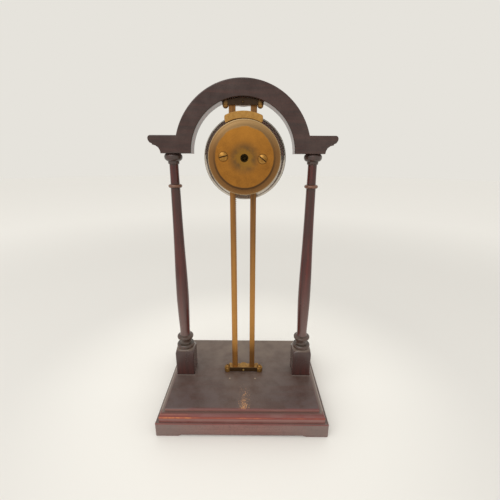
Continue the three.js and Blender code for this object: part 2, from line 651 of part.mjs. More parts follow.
// Centre arbor: pinion, centre wheel, cannon pinion and minute hand
const hand = (points) => outline([...points, ...[...points].reverse().map(([x, z]) => [-x, z])]);
const bore = (radius) => rod(radius, -15, -5, 12, "y");
const centreLeaves = pinion(CENTRE_LEAVES, GREAT_MODULE, gapFacing(CENTRE_LEAVES, greatLine), CENTRE_PINION);
add("centre_arbor", at(join(rod(MAIN_ARBOR, -13.2, 7, 10, "y"), centreLeaves), CENTRE), STEEL);
const thirdLine = angleTo(CENTRE, THIRD);
const centreWheel = wheel(CENTRE_TEETH, CENTRE_MODULE, thirdLine, MAIN_SEAT, CENTRE_WHEEL);
add("centre_wheel", at(centreWheel, CENTRE), BRASS);
const cannonLine = angleTo(CENTRE, MINUTE);
const cannon = join(
  rod(1.35, ...CANNON_PIPE, 12, "y"),
  pinion(CANNON_LEAVES, MOTION_MODULE, cannonLine, CANNON_PINION),
);
add("cannon_pinion", at(cut(cannon, rod(0.98, -15, -5, 10, "y")), CENTRE), STEEL);
const minuteHand = join(
  plate(hand([[0.9, 0], [0.65, 12], [1.15, 16], [0.15, 22.6]]), ...MINUTE_HAND),
  rod(2.3, MINUTE_HAND[0] - 0.05, MINUTE_HAND[1] + 0.05, 14, "y"),
);
add("minute_hand", at(cut(minuteHand, bore(1.42)).rotateY(radians(MINUTE_HAND_AT)), CENTRE), BLUED);

// Motion work: minute wheel on its stud, hour wheel on the cannon pinion, hour hand
const hourLine = angleTo(MINUTE, CENTRE);
const minuteTeeth = gearOutline(MINUTE_TEETH, MOTION_MODULE, gapFacing(MINUTE_TEETH, cannonLine), false);
const minuteWheel = join(
  plate(minuteTeeth, ...MINUTE_WHEEL),
  pinion(MINUTE_LEAVES, MOTION_MODULE, hourLine, MINUTE_PINION),
);
add("minute_wheel", at(cut(minuteWheel, rod(0.66, -12, -5, 10, "y")), MINUTE), BRASS);
const hourTeeth = gearOutline(HOUR_TEETH, MOTION_MODULE, gapFacing(HOUR_TEETH, hourLine), false);
const hourWheel = join(plate(hourTeeth, ...HOUR_WHEEL), rod(1.95, ...HOUR_PIPE, 12, "y"));
add("hour_wheel", at(cut(hourWheel, bore(1.45)), CENTRE), BRASS);
const hourHand = join(
  plate(hand([[0.9, 0], [0.7, 8], [2.1, 10.6], [0.2, 15.4]]), ...HOUR_HAND),
  rod(2.9, HOUR_HAND[0] - 0.05, HOUR_HAND[1] + 0.05, 14, "y"),
);
add("hour_hand", at(cut(hourHand, bore(2.02)).rotateY(radians(HOUR_HAND_AT)), CENTRE), BLUED);

// Third, fourth and escape arbors between the middle and back plates
function arbor(leaves, module, line, level) {
  const toothed = pinion(leaves, module, gapFacing(leaves, line), level);
  return join(rod(SMALL_ARBOR, ...SMALL_ARBORS, 10, "y"), toothed);
}
const fourthLine = angleTo(THIRD, FOURTH);
const escapeLine = angleTo(FOURTH, ESCAPE);
add("third_arbor", at(arbor(THIRD_LEAVES, CENTRE_MODULE, thirdLine, THIRD_PINION), THIRD), STEEL);
const thirdWheel = wheel(THIRD_TEETH, THIRD_MODULE, fourthLine, SMALL_SEAT, THIRD_WHEEL);
add("third_wheel", at(thirdWheel, THIRD), BRASS);
add("fourth_arbor", at(arbor(FOURTH_LEAVES, THIRD_MODULE, fourthLine, FOURTH_PINION), FOURTH), STEEL);
const fourthWheel = wheel(FOURTH_TEETH, FOURTH_MODULE, escapeLine, SMALL_SEAT, FOURTH_WHEEL);
add("fourth_wheel", at(fourthWheel, FOURTH), BRASS);
add("escape_arbor", at(arbor(ESCAPE_LEAVES, FOURTH_MODULE, escapeLine, ESCAPE_PINION), ESCAPE), STEEL);
const escapePoints = [];
steps(ESCAPE_TEETH).forEach((i) => {
  const d = (i * 360) / ESCAPE_TEETH;
  escapePoints.push(polar(3.2, d), polar(4.5, d + 9), polar(4.4, d + 12), polar(3.2, d + 9.5));
});
const escapeWheel = plate(withBore(outline(escapePoints), SMALL_SEAT), ...ESCAPE_WHEEL, BORE_STEPS);
add("escape_wheel", at(escapeWheel, ESCAPE), STEEL);

// Pallet lever: two arms with pallets, a hub on its arbor, and a forked tail towards the balance
const towardsEscape = angleTo(PALLET, ESCAPE);
const towardsBalance = angleTo(PALLET, BALANCE);
const palletPoint = (turn, radius) => {
  const [x, z] = from(ESCAPE, radius, towardsEscape + 180 + turn);
  return [x - PALLET[0], z - PALLET[1]];
};
const palletArms = [33, -33].flatMap((turn) => [
  plate(strip([0, 0], palletPoint(turn, 5.6), 0.45), ...ESCAPE_WHEEL),
  plate(strip(palletPoint(turn, 6.3), palletPoint(turn, 4.97), 0.35), 5.3, 6.0),
]);
const forkEnd = polar(4.5, towardsBalance);
const forkProngs = [26.4, -26.4].map((turn) =>
  plate(strip(forkEnd, from(forkEnd, 1.1, towardsBalance + turn), 0.22), 5.44, 5.86),
);
const palletLever = join(
  rod(SMALL_ARBOR, ...SMALL_ARBORS, 10, "y"),
  rod(0.95, 5.2, 6.1, 10, "y"),
  plate(strip([0, 0], forkEnd, 0.5), 5.42, 5.88),
  ...palletArms,
  ...forkProngs,
);
add("pallet_lever", at(palletLever, PALLET), STEEL);

// Balance: staff with its roller, two-armed wheel and hairspring
const staffProfile = [
  [SMALL_ARBOR, SMALL_ARBORS[0]],
  [SMALL_ARBOR, 6.4],
  [1.1, 6.4],
  [1.1, 7.2],
  [SMALL_ARBOR, 7.2],
  [SMALL_ARBOR, SMALL_ARBORS[1]],
];
add("balance_staff", at(turned(staffProfile, 10, "y"), BALANCE), STEEL);
const rim = new THREE.Shape();
rim.absarc(0, 0, 6.3, 0, 2 * Math.PI, false);
[0, 180].forEach((turn) => {
  const window = new THREE.Path();
  window.absarc(0, 0, 5.2, radians(turn + 9), radians(turn + 171), false);
  window.lineTo(...polar(0.9, turn + 90));
  rim.holes.push(window);
});
add("balance_wheel", at(cut(plate(rim, ...BALANCE_RIM), rod(0.57, 5, 10, 10, "y")), BALANCE), BRASS);
const COIL_STEPS = 36;
const coilOuter = [];
const coilInner = [];
steps(COIL_STEPS + 1).forEach((i) => {
  const radius = 1.0 + (2.4 * i) / COIL_STEPS;
  coilOuter.push(polar(radius + 0.1, 30 * i));
  coilInner.unshift(polar(radius - 0.1, 30 * i));
});
add("hairspring", at(plate(outline([...coilOuter, ...coilInner]), ...HAIRSPRING), BALANCE), BLUED);

export default clock;
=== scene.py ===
"""A gravity rack clock: a polished mahogany stand, two brass bars and a drum clock that sinks down them."""

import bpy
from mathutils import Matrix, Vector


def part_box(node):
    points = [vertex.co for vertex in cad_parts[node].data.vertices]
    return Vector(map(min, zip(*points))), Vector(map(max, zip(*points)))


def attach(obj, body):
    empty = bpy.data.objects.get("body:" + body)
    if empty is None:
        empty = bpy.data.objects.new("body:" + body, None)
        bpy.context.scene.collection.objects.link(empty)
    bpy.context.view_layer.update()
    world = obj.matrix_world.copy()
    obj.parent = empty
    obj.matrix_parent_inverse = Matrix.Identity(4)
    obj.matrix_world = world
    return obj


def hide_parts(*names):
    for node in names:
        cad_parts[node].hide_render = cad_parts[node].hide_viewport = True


bl_info = {
    "name": "Rack clock",
    "version": (1, 0, 0),
    "blender": (4, 5, 0),
    "location": "View3D > Sidebar > Rack clock",
    "description": "Dresses the packed solids of a gravity rack clock with shaped pieces and finishes",
    "category": "Add Mesh",
}

import math

import bmesh
import bpy
from mathutils import Vector

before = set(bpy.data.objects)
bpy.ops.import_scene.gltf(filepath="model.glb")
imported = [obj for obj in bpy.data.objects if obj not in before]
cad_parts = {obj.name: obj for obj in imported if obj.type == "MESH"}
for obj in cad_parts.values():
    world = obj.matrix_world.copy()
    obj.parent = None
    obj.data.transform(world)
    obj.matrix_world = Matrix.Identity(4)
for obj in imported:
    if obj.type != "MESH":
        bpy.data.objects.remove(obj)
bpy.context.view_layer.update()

# Shapes are worked out in millimetres and turned to metres when a mesh is made.
MM = 0.001


def node_box(node):
    """A node's lowest and highest corners at rest, in millimetres."""
    low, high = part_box(node)
    return Vector(low) / MM, Vector(high) / MM


def hex_colour(code):
    """A linear colour with full alpha from an sRGB hex code."""
    channels = [int(code[start:start + 2], 16) / 255 for start in (0, 2, 4)]
    linear = [c / 12.92 if c <= 0.04045 else ((c + 0.055) / 1.055) ** 2.4 for c in channels]
    return (*linear, 1.0)


# Base
PLINTH_HIGH = node_box("base_plinth")[1]
PLINTH_CORNER = 0.8
PLINTH_STEPS = 90
APRON_RISE = 1.3
FOOT_SIDE = 17.5

# The underside starts to slope down to a foot this far beyond the foot's side, and does so over this length.
FOOT_EASE = (2.5, 3.5)

# The plinth's rings from below its middle out to its sides: distance in from the side, rise, wear, and dirt
# and painted shade, heaviest along its underside edge.
PLINTH_FOOT = (
    (FOOT_SIDE + 4.0, 0.0, 0.0, 0.0), (FOOT_SIDE + 1.0, 0.0, 0.0, 0.0), (FOOT_SIDE - 1.0, 0.0, 0.0, 0.0),
    (0.5, 0.0, 0.1, 0.5), (0.15, 0.15, 0.3, 0.2), (0.0, 0.5, 0.2, 0.1), (0.0, 1.6, 0.0, 0.0),
)

# The plinth's rings on its top, under the board: distance in from the board's side, and dirt and painted
# shade under the board's edge.
PLINTH_TOP = ((-0.25, 0.1), (0.1, 0.5), (4.0, 0.6))
BOARD_LOW, BOARD_HIGH = node_box("base_top_board")
BOARD_CORNER = 0.7
MOULDING_ROUND = Vector((2.7, 3.6))
FILLET = BOARD_LOW.z + 3.5
CROWN = FILLET + MOULDING_ROUND.y
GROOVE = MOULDING_ROUND.x + 1.2

# The board's rings below its round moulding and above it: distance in from the side, height, wear, and dirt
# and painted shade at the fillet's foot and in the groove.
BOARD_FACE = (
    (1.0, BOARD_LOW.z, 0.0, 0.6), (0.0, BOARD_LOW.z, 0.2, 0.45), (0.0, BOARD_LOW.z + 0.5, 0.35, 0.3),
    (0.0, BOARD_LOW.z + 1.6, 0.3, 0.1), (0.0, FILLET - 1.0, 0.1, 0.0), (0.0, FILLET - 0.3, 0.05, 0.0),
)
BOARD_STEP = (
    (GROOVE - 0.9, CROWN - 0.05, 0.0, 0.45), (GROOVE - 0.4, CROWN - 0.1, 0.0, 0.6),
    (GROOVE, CROWN, 0.05, 0.5), (GROOVE, CROWN + 0.35, 0.12, 0.1), (GROOVE, CROWN + 0.9, 0.2, 0.0),
)

# Bands on the round moulding, as degrees up its arc, their spread and their strength: rubbed red wear higher
# up, and a painted sheen near its foot.
MOULDING_WEAR_AND_SHEEN = ((58, 24, 0.5), (16, 14, 0.8))

# The handled side of the base starts at this Y.
HANDLED_SIDE = 42.0

# Columns
COLUMN_AXES = {}
for side in ("right", "left"):
    column_low, column_high = node_box("column_" + side)
    COLUMN_AXES[side] = (column_low.x + column_high.x) / 2
BLOCK_HALF = 7.75
BLOCK_TOP = 46.5
BLOCK_FOOT = BOARD_HIGH.z
SHOULDER_RADIUS = 7.2
SHOULDER_SLOPE = 0.725

# A block's rings: distance in and rise with dirt and painted shade on its sides, heaviest at its foot, then
# distance in and drop on its shoulder.
BLOCK_SIDES = ((0.15, 0.0, 0.8), (0.0, 0.3, 0.6), (0.0, 1.2, 0.1), (0.0, 12.0, 0.0))
BLOCK_SHOULDER = ((0.0, 1.3), (0.1, 0.75), (0.35, 0.3), (0.75, 0.08), (1.3, 0.0), (2.0, 0.0), (2.8, 0.0))

# A column's turning, run by run: radius and height from below, wear and sheen, and dirt on the run with dirt
# and painted shade in the creases at its ends.
SHAFT = (
    (4.6, 57.9), (4.15, 61.0), (4.3, 67.0), (4.6, 75.5), (4.9, 86.0), (5.0, 95.0), (4.75, 114.0),
    (4.2, 134.0), (3.75, 157.0), (3.48, 182.9),
)
TURNINGS = (
    (((6.9, 46.5), (7.35, 47.25), (7.45, 48.1), (7.2, 49.1), (6.6, 49.8)), 0.0, 0.1, 0.9),
    (((6.6, 49.8), (5.0, 50.3)), 0.0, 0.5, 0.8),
    (((5.0, 50.3), (4.72, 51.4), (4.75, 52.6), (5.1, 54.3)), 0.0, 0.3, 0.8),
    (((5.1, 54.3), (6.35, 54.75), (6.8, 55.7), (6.5, 57.0), (4.6, 57.9)), 0.0, 0.1, 0.8),
    (SHAFT, 0.0, 0.0, 0.35),
    (((3.48, 182.9), (4.5, 183.2), (5.1, 184.2), (4.6, 185.3), (3.35, 185.8)), 0.15, 0.0, 0.6),
    (((3.35, 185.8), (3.25, 192.0), (3.25, 199.9)), 0.0, 0.0, 0.4),
    (((3.25, 199.9), (3.9, 200.2), (4.05, 201.0), (4.15, 202.0)), 0.0, 0.0, 0.5),
    (((4.15, 202.0), (5.3, 202.55), (6.2, 203.6), (6.5, 204.8), (6.35, 206.1), (5.3, 207.3)), 0.0, 0.1, 0.5),
)

# Toned bands of a column, as middle height, reach up and down, share and tone: grey-green dust on the lower
# rings, a painted highlight on the shaft ring, and dark grey on the collar and capital, partly painted shade.
COLUMN_TONE_BANDS = ((52.2, 5.9, 0.5, "5c544a"), (184.4, 1.0, 0.6, "86664e"), (203.7, 3.8, 0.65, "453d39"))

# Arch
ARCH_LOW, ARCH_HIGH = node_box("arch")
SPRING_HEIGHT = ARCH_LOW.z
ARCH_OUTER = 48.0
ARCH_OUTER_MIDDLE = ARCH_HIGH.z - ARCH_OUTER
ARCH_INNER = 36.6
LEDGE_TOP = 219.4
LEDGE_HALF = ARCH_HIGH.x

# Half of the ledge's end moulding, as distances in from its nose and down from its top.
LEDGE_END = (
    (8.4, 12.1), (8.1, 10.2), (7.1, 8.3), (5.2, 6.9), (2.9, 6.3), (2.9, 5.7), (1.2, 4.9), (0.2, 3.3),
    (0.0, 1.8), (0.6, 0.5), (1.7, 0.0),
)

# How far in from its faces the soffit's painted light, a redder and lighter tone, starts and is full.
SOFFIT_PAINTED_LIGHT = (2.5, 4.5)

# Bars and brackets
RACK_LOW, RACK_HIGH = node_box("rack_bar")
GUIDE_LOW, GUIDE_HIGH = node_box("guide_bar")

# The rack's pitch and depth, half of a notch as a share of the pitch, the height of one root, and the
# heights between which it is toothed.
RACK_PITCH = math.pi * 0.5
RACK_DEPTH = 1.3
RACK_NOTCH = 0.38
RACK_ROOT = 192.376
RACK_RUN = (40.0, 199.0)
ROWS_PER_TOOTH = 8

# The Y of each bracket's far and near faces, and the bulge on the far one as X, Y and radius.
BRACKET_FACES = (-2.6, 3.3)
BRACKET_BULGE = (0.0, -1.0, 3.4)

# Half width of each bracket's straight part, and its ear and shoulder as X, Y and radius.
BOTTOM_LOBES = (12.3, (14.2, 1.9, 2.7), (11.6, -2.0, 1.6))
TOP_LOBES = (11.0, (12.0, 1.9, 2.25), (10.3, -2.0, 1.6))
BOTTOM_LOW, BOTTOM_HIGH = node_box("bottom_bracket")
TOP_LOW, TOP_HIGH = node_box("top_bracket")
SOFFIT_RADIUS = 36.48

# A pin's rounded end, as shares of its radius and distances back from its near end.
PIN_END = ((1.0, 0.35), (0.9, 0.15), (0.6, 0.0))

# Screws: by node, whether the head stands up or hangs, and the turn of its slot.
BRACKET_SCREWS = {
    "bottom_bracket_screw_right": (1, 24.0),
    "bottom_bracket_screw_left": (1, -52.0),
    "top_bracket_screw_right": (-1, 70.0),
    "top_bracket_screw_left": (-1, -15.0),
}
BRACKET_HEAD = {"Head Radius": 2.0, "Head Height": 2.1, "Crown Radius": 2.06, "Slot Depth": 0.55}
COVER_SCREWS = {"cover_screw_right": 14.0, "cover_screw_left": -38.0}
COVER_HEAD = {"Head Radius": 2.98, "Crown Radius": 5.6, "Slot Depth": 0.8}

# Drum
DRUM_LOW, DRUM_HIGH = node_box("drum_case")
DRUM_AXIS = Vector(((DRUM_LOW.x + DRUM_HIGH.x) / 2, 0.0, (DRUM_LOW.z + DRUM_HIGH.z) / 2))
DIAL_LOW, DIAL_HIGH = node_box("dial")
COVER_HIGH = node_box("back_cover")[1]

# Turned profiles about the drum's axis, as radius and depth.
CASE_LIP = (24.7, -2.3)
CASE_SLOPE = (
    (25.7, -2.3), (26.6, -2.65), (28.4, -3.95), (29.75, -5.2), (30.1, -5.8), (30.1, -6.5), (30.1, -7.6),
)
CASE_INSIDE = (
    (30.1, -9.2), (29.9, -9.5), (28.9, -9.5), (28.9, -6.6), (28.4, -5.3), (27.5, -4.2), (26.6, -3.55),
    (25.6, -3.4), (24.7, -3.4),
)
BEZEL_BACK = ((27.6, -9.7), (30.1, -9.7), (30.8, -10.05))
BEZEL_FACE = (
    (30.95, -10.15), (31.0, -11.0), (30.8, -12.2), (29.6, -13.8), (27.4, -14.8), (25.9, -15.0),
    (25.35, -14.7),
)
BEZEL_SEAT = ((26.3, -14.2), (26.6, -12.6), (27.6, -12.3))
GLASS_DOME = ((0.4, -14.95), (14.0, -14.7), (26.1, -13.95))
GLASS_THICKNESS = 0.55
COVER_WALL = ((25.25, -2.15), (25.25, 4.0))
COVER_SHOULDER = (
    (25.25, 10.9), (25.05, 11.5), (24.4, 11.7), (23.6, 11.8), (22.4, 12.4), (21.3, 13.2), (20.7, 13.55),
    (20.2, 13.75),
)
COVER_FLAT = ((19.8, 13.75), (12.0, 13.75), (3.2, 13.75), (2.85, 13.68))
COVER_INSIDE = ((2.7, 13.5), (2.7, 12.9), (19.9, 12.9), (22.2, 11.3), (24.1, 10.6), (24.1, -2.15))

# Radius and depth where the cover's rim of rubbed metal and painted highlight starts, and the two radii and
# the depth that bound the painted shade round its flat.
RIM_WEAR_AND_HIGHLIGHT = (24.5, 10.6)
FLAT_SHADE_LINE = (19.8, 21.9, 12.6)

# The cover's notches for the bars: room beside a bar, reach up and down, and the depths they run between.
NOTCH_ROOM = 0.3
NOTCH_REACH = 40.0
NOTCH_DEPTH = (-4.0, 2.1)

# Guide bridge
BRIDGE_LOW, BRIDGE_HIGH = node_box("guide_bridge")
BRIDGE_X = -0.56
BRIDGE_RADII = (26.3, 31.0)

# The bridge's rounded end, as radius and angle from its middle line.
BRIDGE_END = (
    (31.0, 23.6), (30.9, 24.7), (30.5, 25.7), (29.8, 26.5), (28.9, 27.3), (27.9, 28.0), (27.1, 28.3),
    (26.6, 28.1), (26.3, 27.3),
)

# Dial: levels of the ink about its face, the minute track's sizes, and the plate's radius and depth.
NUMERALS = ("XII", "I", "II", "III", "IIII", "V", "VI", "VII", "VIII", "IX", "X", "XI")
INK_LEVELS = (0.02, -0.04)
TRACK = {"Tick Length": 1.1, "Tick Width": 0.2, "Hour Width": 0.55, "Rail Width": 0.14, "Thickness": 0.06}
DIAL_PLATE = (
    (2.2, DIAL_HIGH.y), (27.3, DIAL_HIGH.y), (27.3, DIAL_LOW.y + 0.15), (27.1, DIAL_LOW.y),
    (14.0, DIAL_LOW.y), (2.6, DIAL_LOW.y), (2.35, DIAL_LOW.y + 0.05), (2.2, DIAL_LOW.y + 0.2),
)

# Hands: piece, node, body, half width and distance out along the blade, boss radius, and turn from twelve.
HANDS = (
    (
        "minute_hand_blued", "minute_hand", "centre_arbor",
        ((0.9, 0.0), (0.65, 12.0), (1.15, 16.0), (0.7, 19.0), (0.15, 22.6)), 2.3, 60.0,
    ),
    (
        "hour_hand_blued", "hour_hand", "hour_wheel",
        ((0.9, 0.0), (0.7, 8.0), (2.1, 10.6), (0.9, 13.0), (0.2, 15.4)), 2.9, 305.0,
    ),
)
HAND_EDGE = 0.1

# Stage, in metres
FLOOR_RADIUS = 4.0
LAMP_SIZE = (1.1, 0.8)
LAMP_PLACE = (0.45, 0.75, 0.95)
LAMP_AIM = Vector((0, 0, 0.1))

# The camera's focal length in pixels of a picture this wide, on a sensor this wide in millimetres.
FOCAL_PIXELS = 295.304
PICTURE_WIDTH = 500
SENSOR_WIDTH = 36


def length_setting(name, description, default, low, high):
    """A length that a user may change, given in millimetres."""
    return bpy.props.FloatProperty(
        name=name, description=description, default=default * MM, min=low * MM, max=high * MM, unit="LENGTH",
    )


def colour_setting(name, description, code):
    """A colour that a user may change, given as an sRGB hex code."""
    return bpy.props.FloatVectorProperty(
        name=name, description=description, default=hex_colour(code), size=4, subtype="COLOR",
    )


class RackClockSizes(bpy.types.PropertyGroup):
    """Sizes of the visible pieces that a user may change."""

    wood_edge: length_setting(
        "Wooden edge", "Radius that handling has worn on the edges of the boards, blocks and arch",
        0.65, 0.1, 1.2,
    )
    brass_edge: length_setting(
        "Brass edge", "Radius on the edges of the bars, brackets and bridge", 0.4, 0.05, 0.8,
    )
    slot_width: length_setting("Screw slot", "Width of the slots in the screw heads", 0.8, 0.3, 1.2)
    track_radius: length_setting(
        "Minute track", "Radius of the middle of the dial's minute track", 23.4, 20, 24,
    )
    numeral_radius: length_setting("Numeral ring", "Radius of the middle of the hour numerals", 19.2, 12, 20)
    numeral_height: length_setting("Numeral height", "Height of the hour numerals", 5.0, 2, 7)


class RackClockColours(bpy.types.PropertyGroup):
    """Colours of the finishes that a user may change."""

    mahogany: colour_setting("Mahogany", "Dark ground of the polished stand", "301d19")
    mahogany_red: colour_setting("Mahogany figure", "Redder streaks along the grain", "4c2a23")
    mahogany_column: colour_setting("Column mahogany", "Redder ground of the columns", "3c1815")
    mahogany_thin: colour_setting("Thin polish", "Red wood under worn polish", "722a28")
    mahogany_bare: colour_setting(
        "Bare mahogany", "Orange wood that shows where the polish is gone", "bd7444",
    )
    mahogany_base: colour_setting(
        "Base mahogany", "Lighter and pinker ground of the base, where the polish is thin", "856059",
    )
    mahogany_board: colour_setting("Board mahogany", "Brown ground of the top board", "4a3936")
    bloom: colour_setting("Bloom", "Grey haze in the old polish", "67564f")
    brass: colour_setting("Brass", "Aged brass of the movement", "bb8c4a")
    brass_tarnish: colour_setting("Tarnished brass", "Darker brown film on the movement's brass", "8c6433")
    lacquer: colour_setting("Lacquer", "Orange lacquer on the flat of the back cover", "aa722e")
    lacquer_dark: colour_setting("Dark lacquer", "Darker grain in the orange lacquer", "8a5b25")
    nickel: colour_setting("Nickel plate", "Polished plate of the drum case and bezel", "c6beb2")
    steel: colour_setting("Steel", "Satin steel of the arbors and screws inside", "8e9094")
    blued_steel: colour_setting("Blued steel", "Heat-blued steel of the hands and hairspring", "1c2648")
    enamel: colour_setting("Dial enamel", "Cream white of the dial", "f0ebdf")
    floor: colour_setting("Floor", "Pale paper under and behind the clock", "f1efea")


class RackClockStage(bpy.types.PropertyGroup):
    """Camera and light."""

    camera_place: bpy.props.FloatVectorProperty(
        name="Camera place",
        description="Where the camera stands, behind the clock and a little above its middle",
        default=(-6.243 * MM, 224.992 * MM, 203.134 * MM),
        subtype="TRANSLATION",
        unit="LENGTH",
    )
    camera_turn: bpy.props.FloatVectorProperty(
        name="Camera turn",
        description="How the camera is turned, looking a little down at the back of the clock",
        default=(math.radians(73.0402), math.radians(-0.2740), math.radians(-179.6873)),
        subtype="EULER",
    )
    camera_lens: bpy.props.FloatProperty(
        name="Camera lens",
        description="Focal length in millimetres on a sensor 36 mm wide",
        default=FOCAL_PIXELS * SENSOR_WIDTH / PICTURE_WIDTH,
    )
    lamp_power: bpy.props.FloatProperty(
        name="Lamp power",
        description="Strength of the large soft lamp above the camera",
        default=4.4,
        min=0.0,
    )
    room_light: bpy.props.FloatProperty(
        name="Room light",
        description="Strength of the even light from all round",
        default=0.92,
        min=0.0,
    )


def feed(tree, made, links):
    """Gives a node's inputs, by name or place, their values, hex colours, sockets or other nodes' results."""
    for key, value in links.items():
        socket = made.inputs[key]
        if isinstance(value, bpy.types.Node):
            value = next(output for output in value.outputs if output.enabled)
        if isinstance(value, bpy.types.NodeSocket):
            tree.links.new(value, socket)
        elif isinstance(value, str) and socket.type == "RGBA":
            socket.default_value = hex_colour(value)
        else:
            socket.default_value = value


def add(tree, kind, links=None, **settings):
    """Adds a node with its settings and its inputs."""
    made = tree.nodes.new(kind)
    for key, value in settings.items():
        setattr(made, key, value)
    feed(tree, made, links or {})
    return made


def blank_finish(name):
    """A new material's node tree, its shader and the place on the piece that its patterns read."""
    made = bpy.data.materials.new(name)
    made.use_nodes = True
    tree = made.node_tree
    return made, tree, tree.nodes["Principled BSDF"], add(tree, "ShaderNodeTexCoord").outputs["Object"]


def film(tree, colour, value, start, full, tone, most=1.0, least=0.0, **easing):
    """Lays a tone over a colour, from its least share at a value's start to its most where that is full."""
    share = add(
        tree, "ShaderNodeMapRange",
        {"Value": value, "From Min": start, "From Max": full, "To Min": least, "To Max": most}, **easing,
    )
    return add(tree, "ShaderNodeMix", {0: share, 6: colour, 7: tone}, data_type="RGBA")


def polished_mahogany(name, grain_axis, ground, figure, colours, bloom, gloss, marks=None):
    """Mahogany under old shellac, rubbed by hand.

    The eye gets a dark ground with faint redder streaks along the grain, a grey bloom in the polish, red and
    then orange wood where the edges are worn, the same red and orange as a painted sheen low on the base's
    moulding, greenish dirt and painted shade in the quirks and a satin gloss that breaks up.
    """
    material, tree, shader, place = blank_finish(name)
    # Streaks are 2.5 mm across and 45 mm long.
    grain = [1000 / 2.5] * 3
    grain[grain_axis] = 1000 / 45
    along = add(tree, "ShaderNodeMapping", {"Vector": place, "Scale": grain})
    streak = add(tree, "ShaderNodeTexNoise", {"Vector": along, "Scale": 1.0, "Detail": 5.0, "Roughness": 0.6})
    # Clouds of bloom are 13 mm across, chips 3 mm, and pores 0.7 mm, about twice their real width to show.
    cloud = add(
        tree, "ShaderNodeTexNoise", {"Vector": place, "Scale": 1000 / 13, "Detail": 5.0, "Roughness": 0.6},
    )
    chip = add(tree, "ShaderNodeTexNoise", {"Vector": place, "Scale": 1000 / 3, "Detail": 3.0})
    pore = add(
        tree, "ShaderNodeTexNoise", {"Vector": place, "Scale": 1000 / 0.7, "Detail": 2.0, "Roughness": 0.6},
    )
    colour = film(tree, ground, streak, 0.4, 0.72, figure, 0.7)
    colour = film(tree, colour, cloud, 0.4, 0.7, colours.bloom, bloom)
    colour = film(tree, colour, pore, 0.52, 0.7, "1d110d", 0.4)
    if marks:
        colour = marks(tree, place, colour, cloud, colours)
    # An edge shows red where the polish is thin, orange where it is thinner, and bare chips where it is gone.
    # On the foot of the base's round moulding, the same red and orange stand for a painted sheen.
    wear_and_sheen = add(tree, "ShaderNodeAttribute", attribute_name="wear_and_sheen").outputs["Fac"]
    uneven = add(
        tree, "ShaderNodeMapRange",
        {"Value": cloud, "From Min": 0.34, "From Max": 0.64, "To Min": 0.65, "To Max": 1.15},
    )
    reach = add(tree, "ShaderNodeMath", {0: uneven, 1: wear_and_sheen}, operation="MULTIPLY")
    colour = film(tree, colour, reach, 0.05, 0.5, colours.mahogany_thin, 0.95)
    colour = film(tree, colour, reach, 0.5, 0.95, "a85c3e", 0.9)
    chips = add(tree, "ShaderNodeMapRange", {"Value": chip, "From Min": 0.52, "From Max": 0.6})
    gone = add(tree, "ShaderNodeMapRange", {"Value": reach, "From Min": 0.78, "From Max": 0.95})
    bare = add(tree, "ShaderNodeMath", {0: chips, 1: gone}, operation="MULTIPLY")
    colour = add(tree, "ShaderNodeMix", {0: bare, 6: colour, 7: colours.mahogany_bare}, data_type="RGBA")
    # Greenish dirt and painted shade darken the quirks, creases and undersides.
    dirt_and_shade = add(tree, "ShaderNodeAttribute", attribute_name="dirt_and_shade").outputs["Fac"]
    darkening = add(tree, "ShaderNodeMath", {0: dirt_and_shade, 1: 0.9}, operation="MULTIPLY")
    colour = add(tree, "ShaderNodeMix", {0: darkening, 6: colour, 7: "33332b"}, data_type="RGBA")
    rough = add(
        tree, "ShaderNodeMapRange",
        {"Value": cloud, "From Min": 0.3, "From Max": 0.75, "To Min": gloss, "To Max": gloss + 0.14},
    )
    relief = add(tree, "ShaderNodeBump", {"Height": pore, "Strength": 0.1, "Distance": 0.06 * MM})
    feed(tree, shader, {"Base Color": colour, "Roughness": rough, "Normal": relief, "IOR": 1.52})
    return material


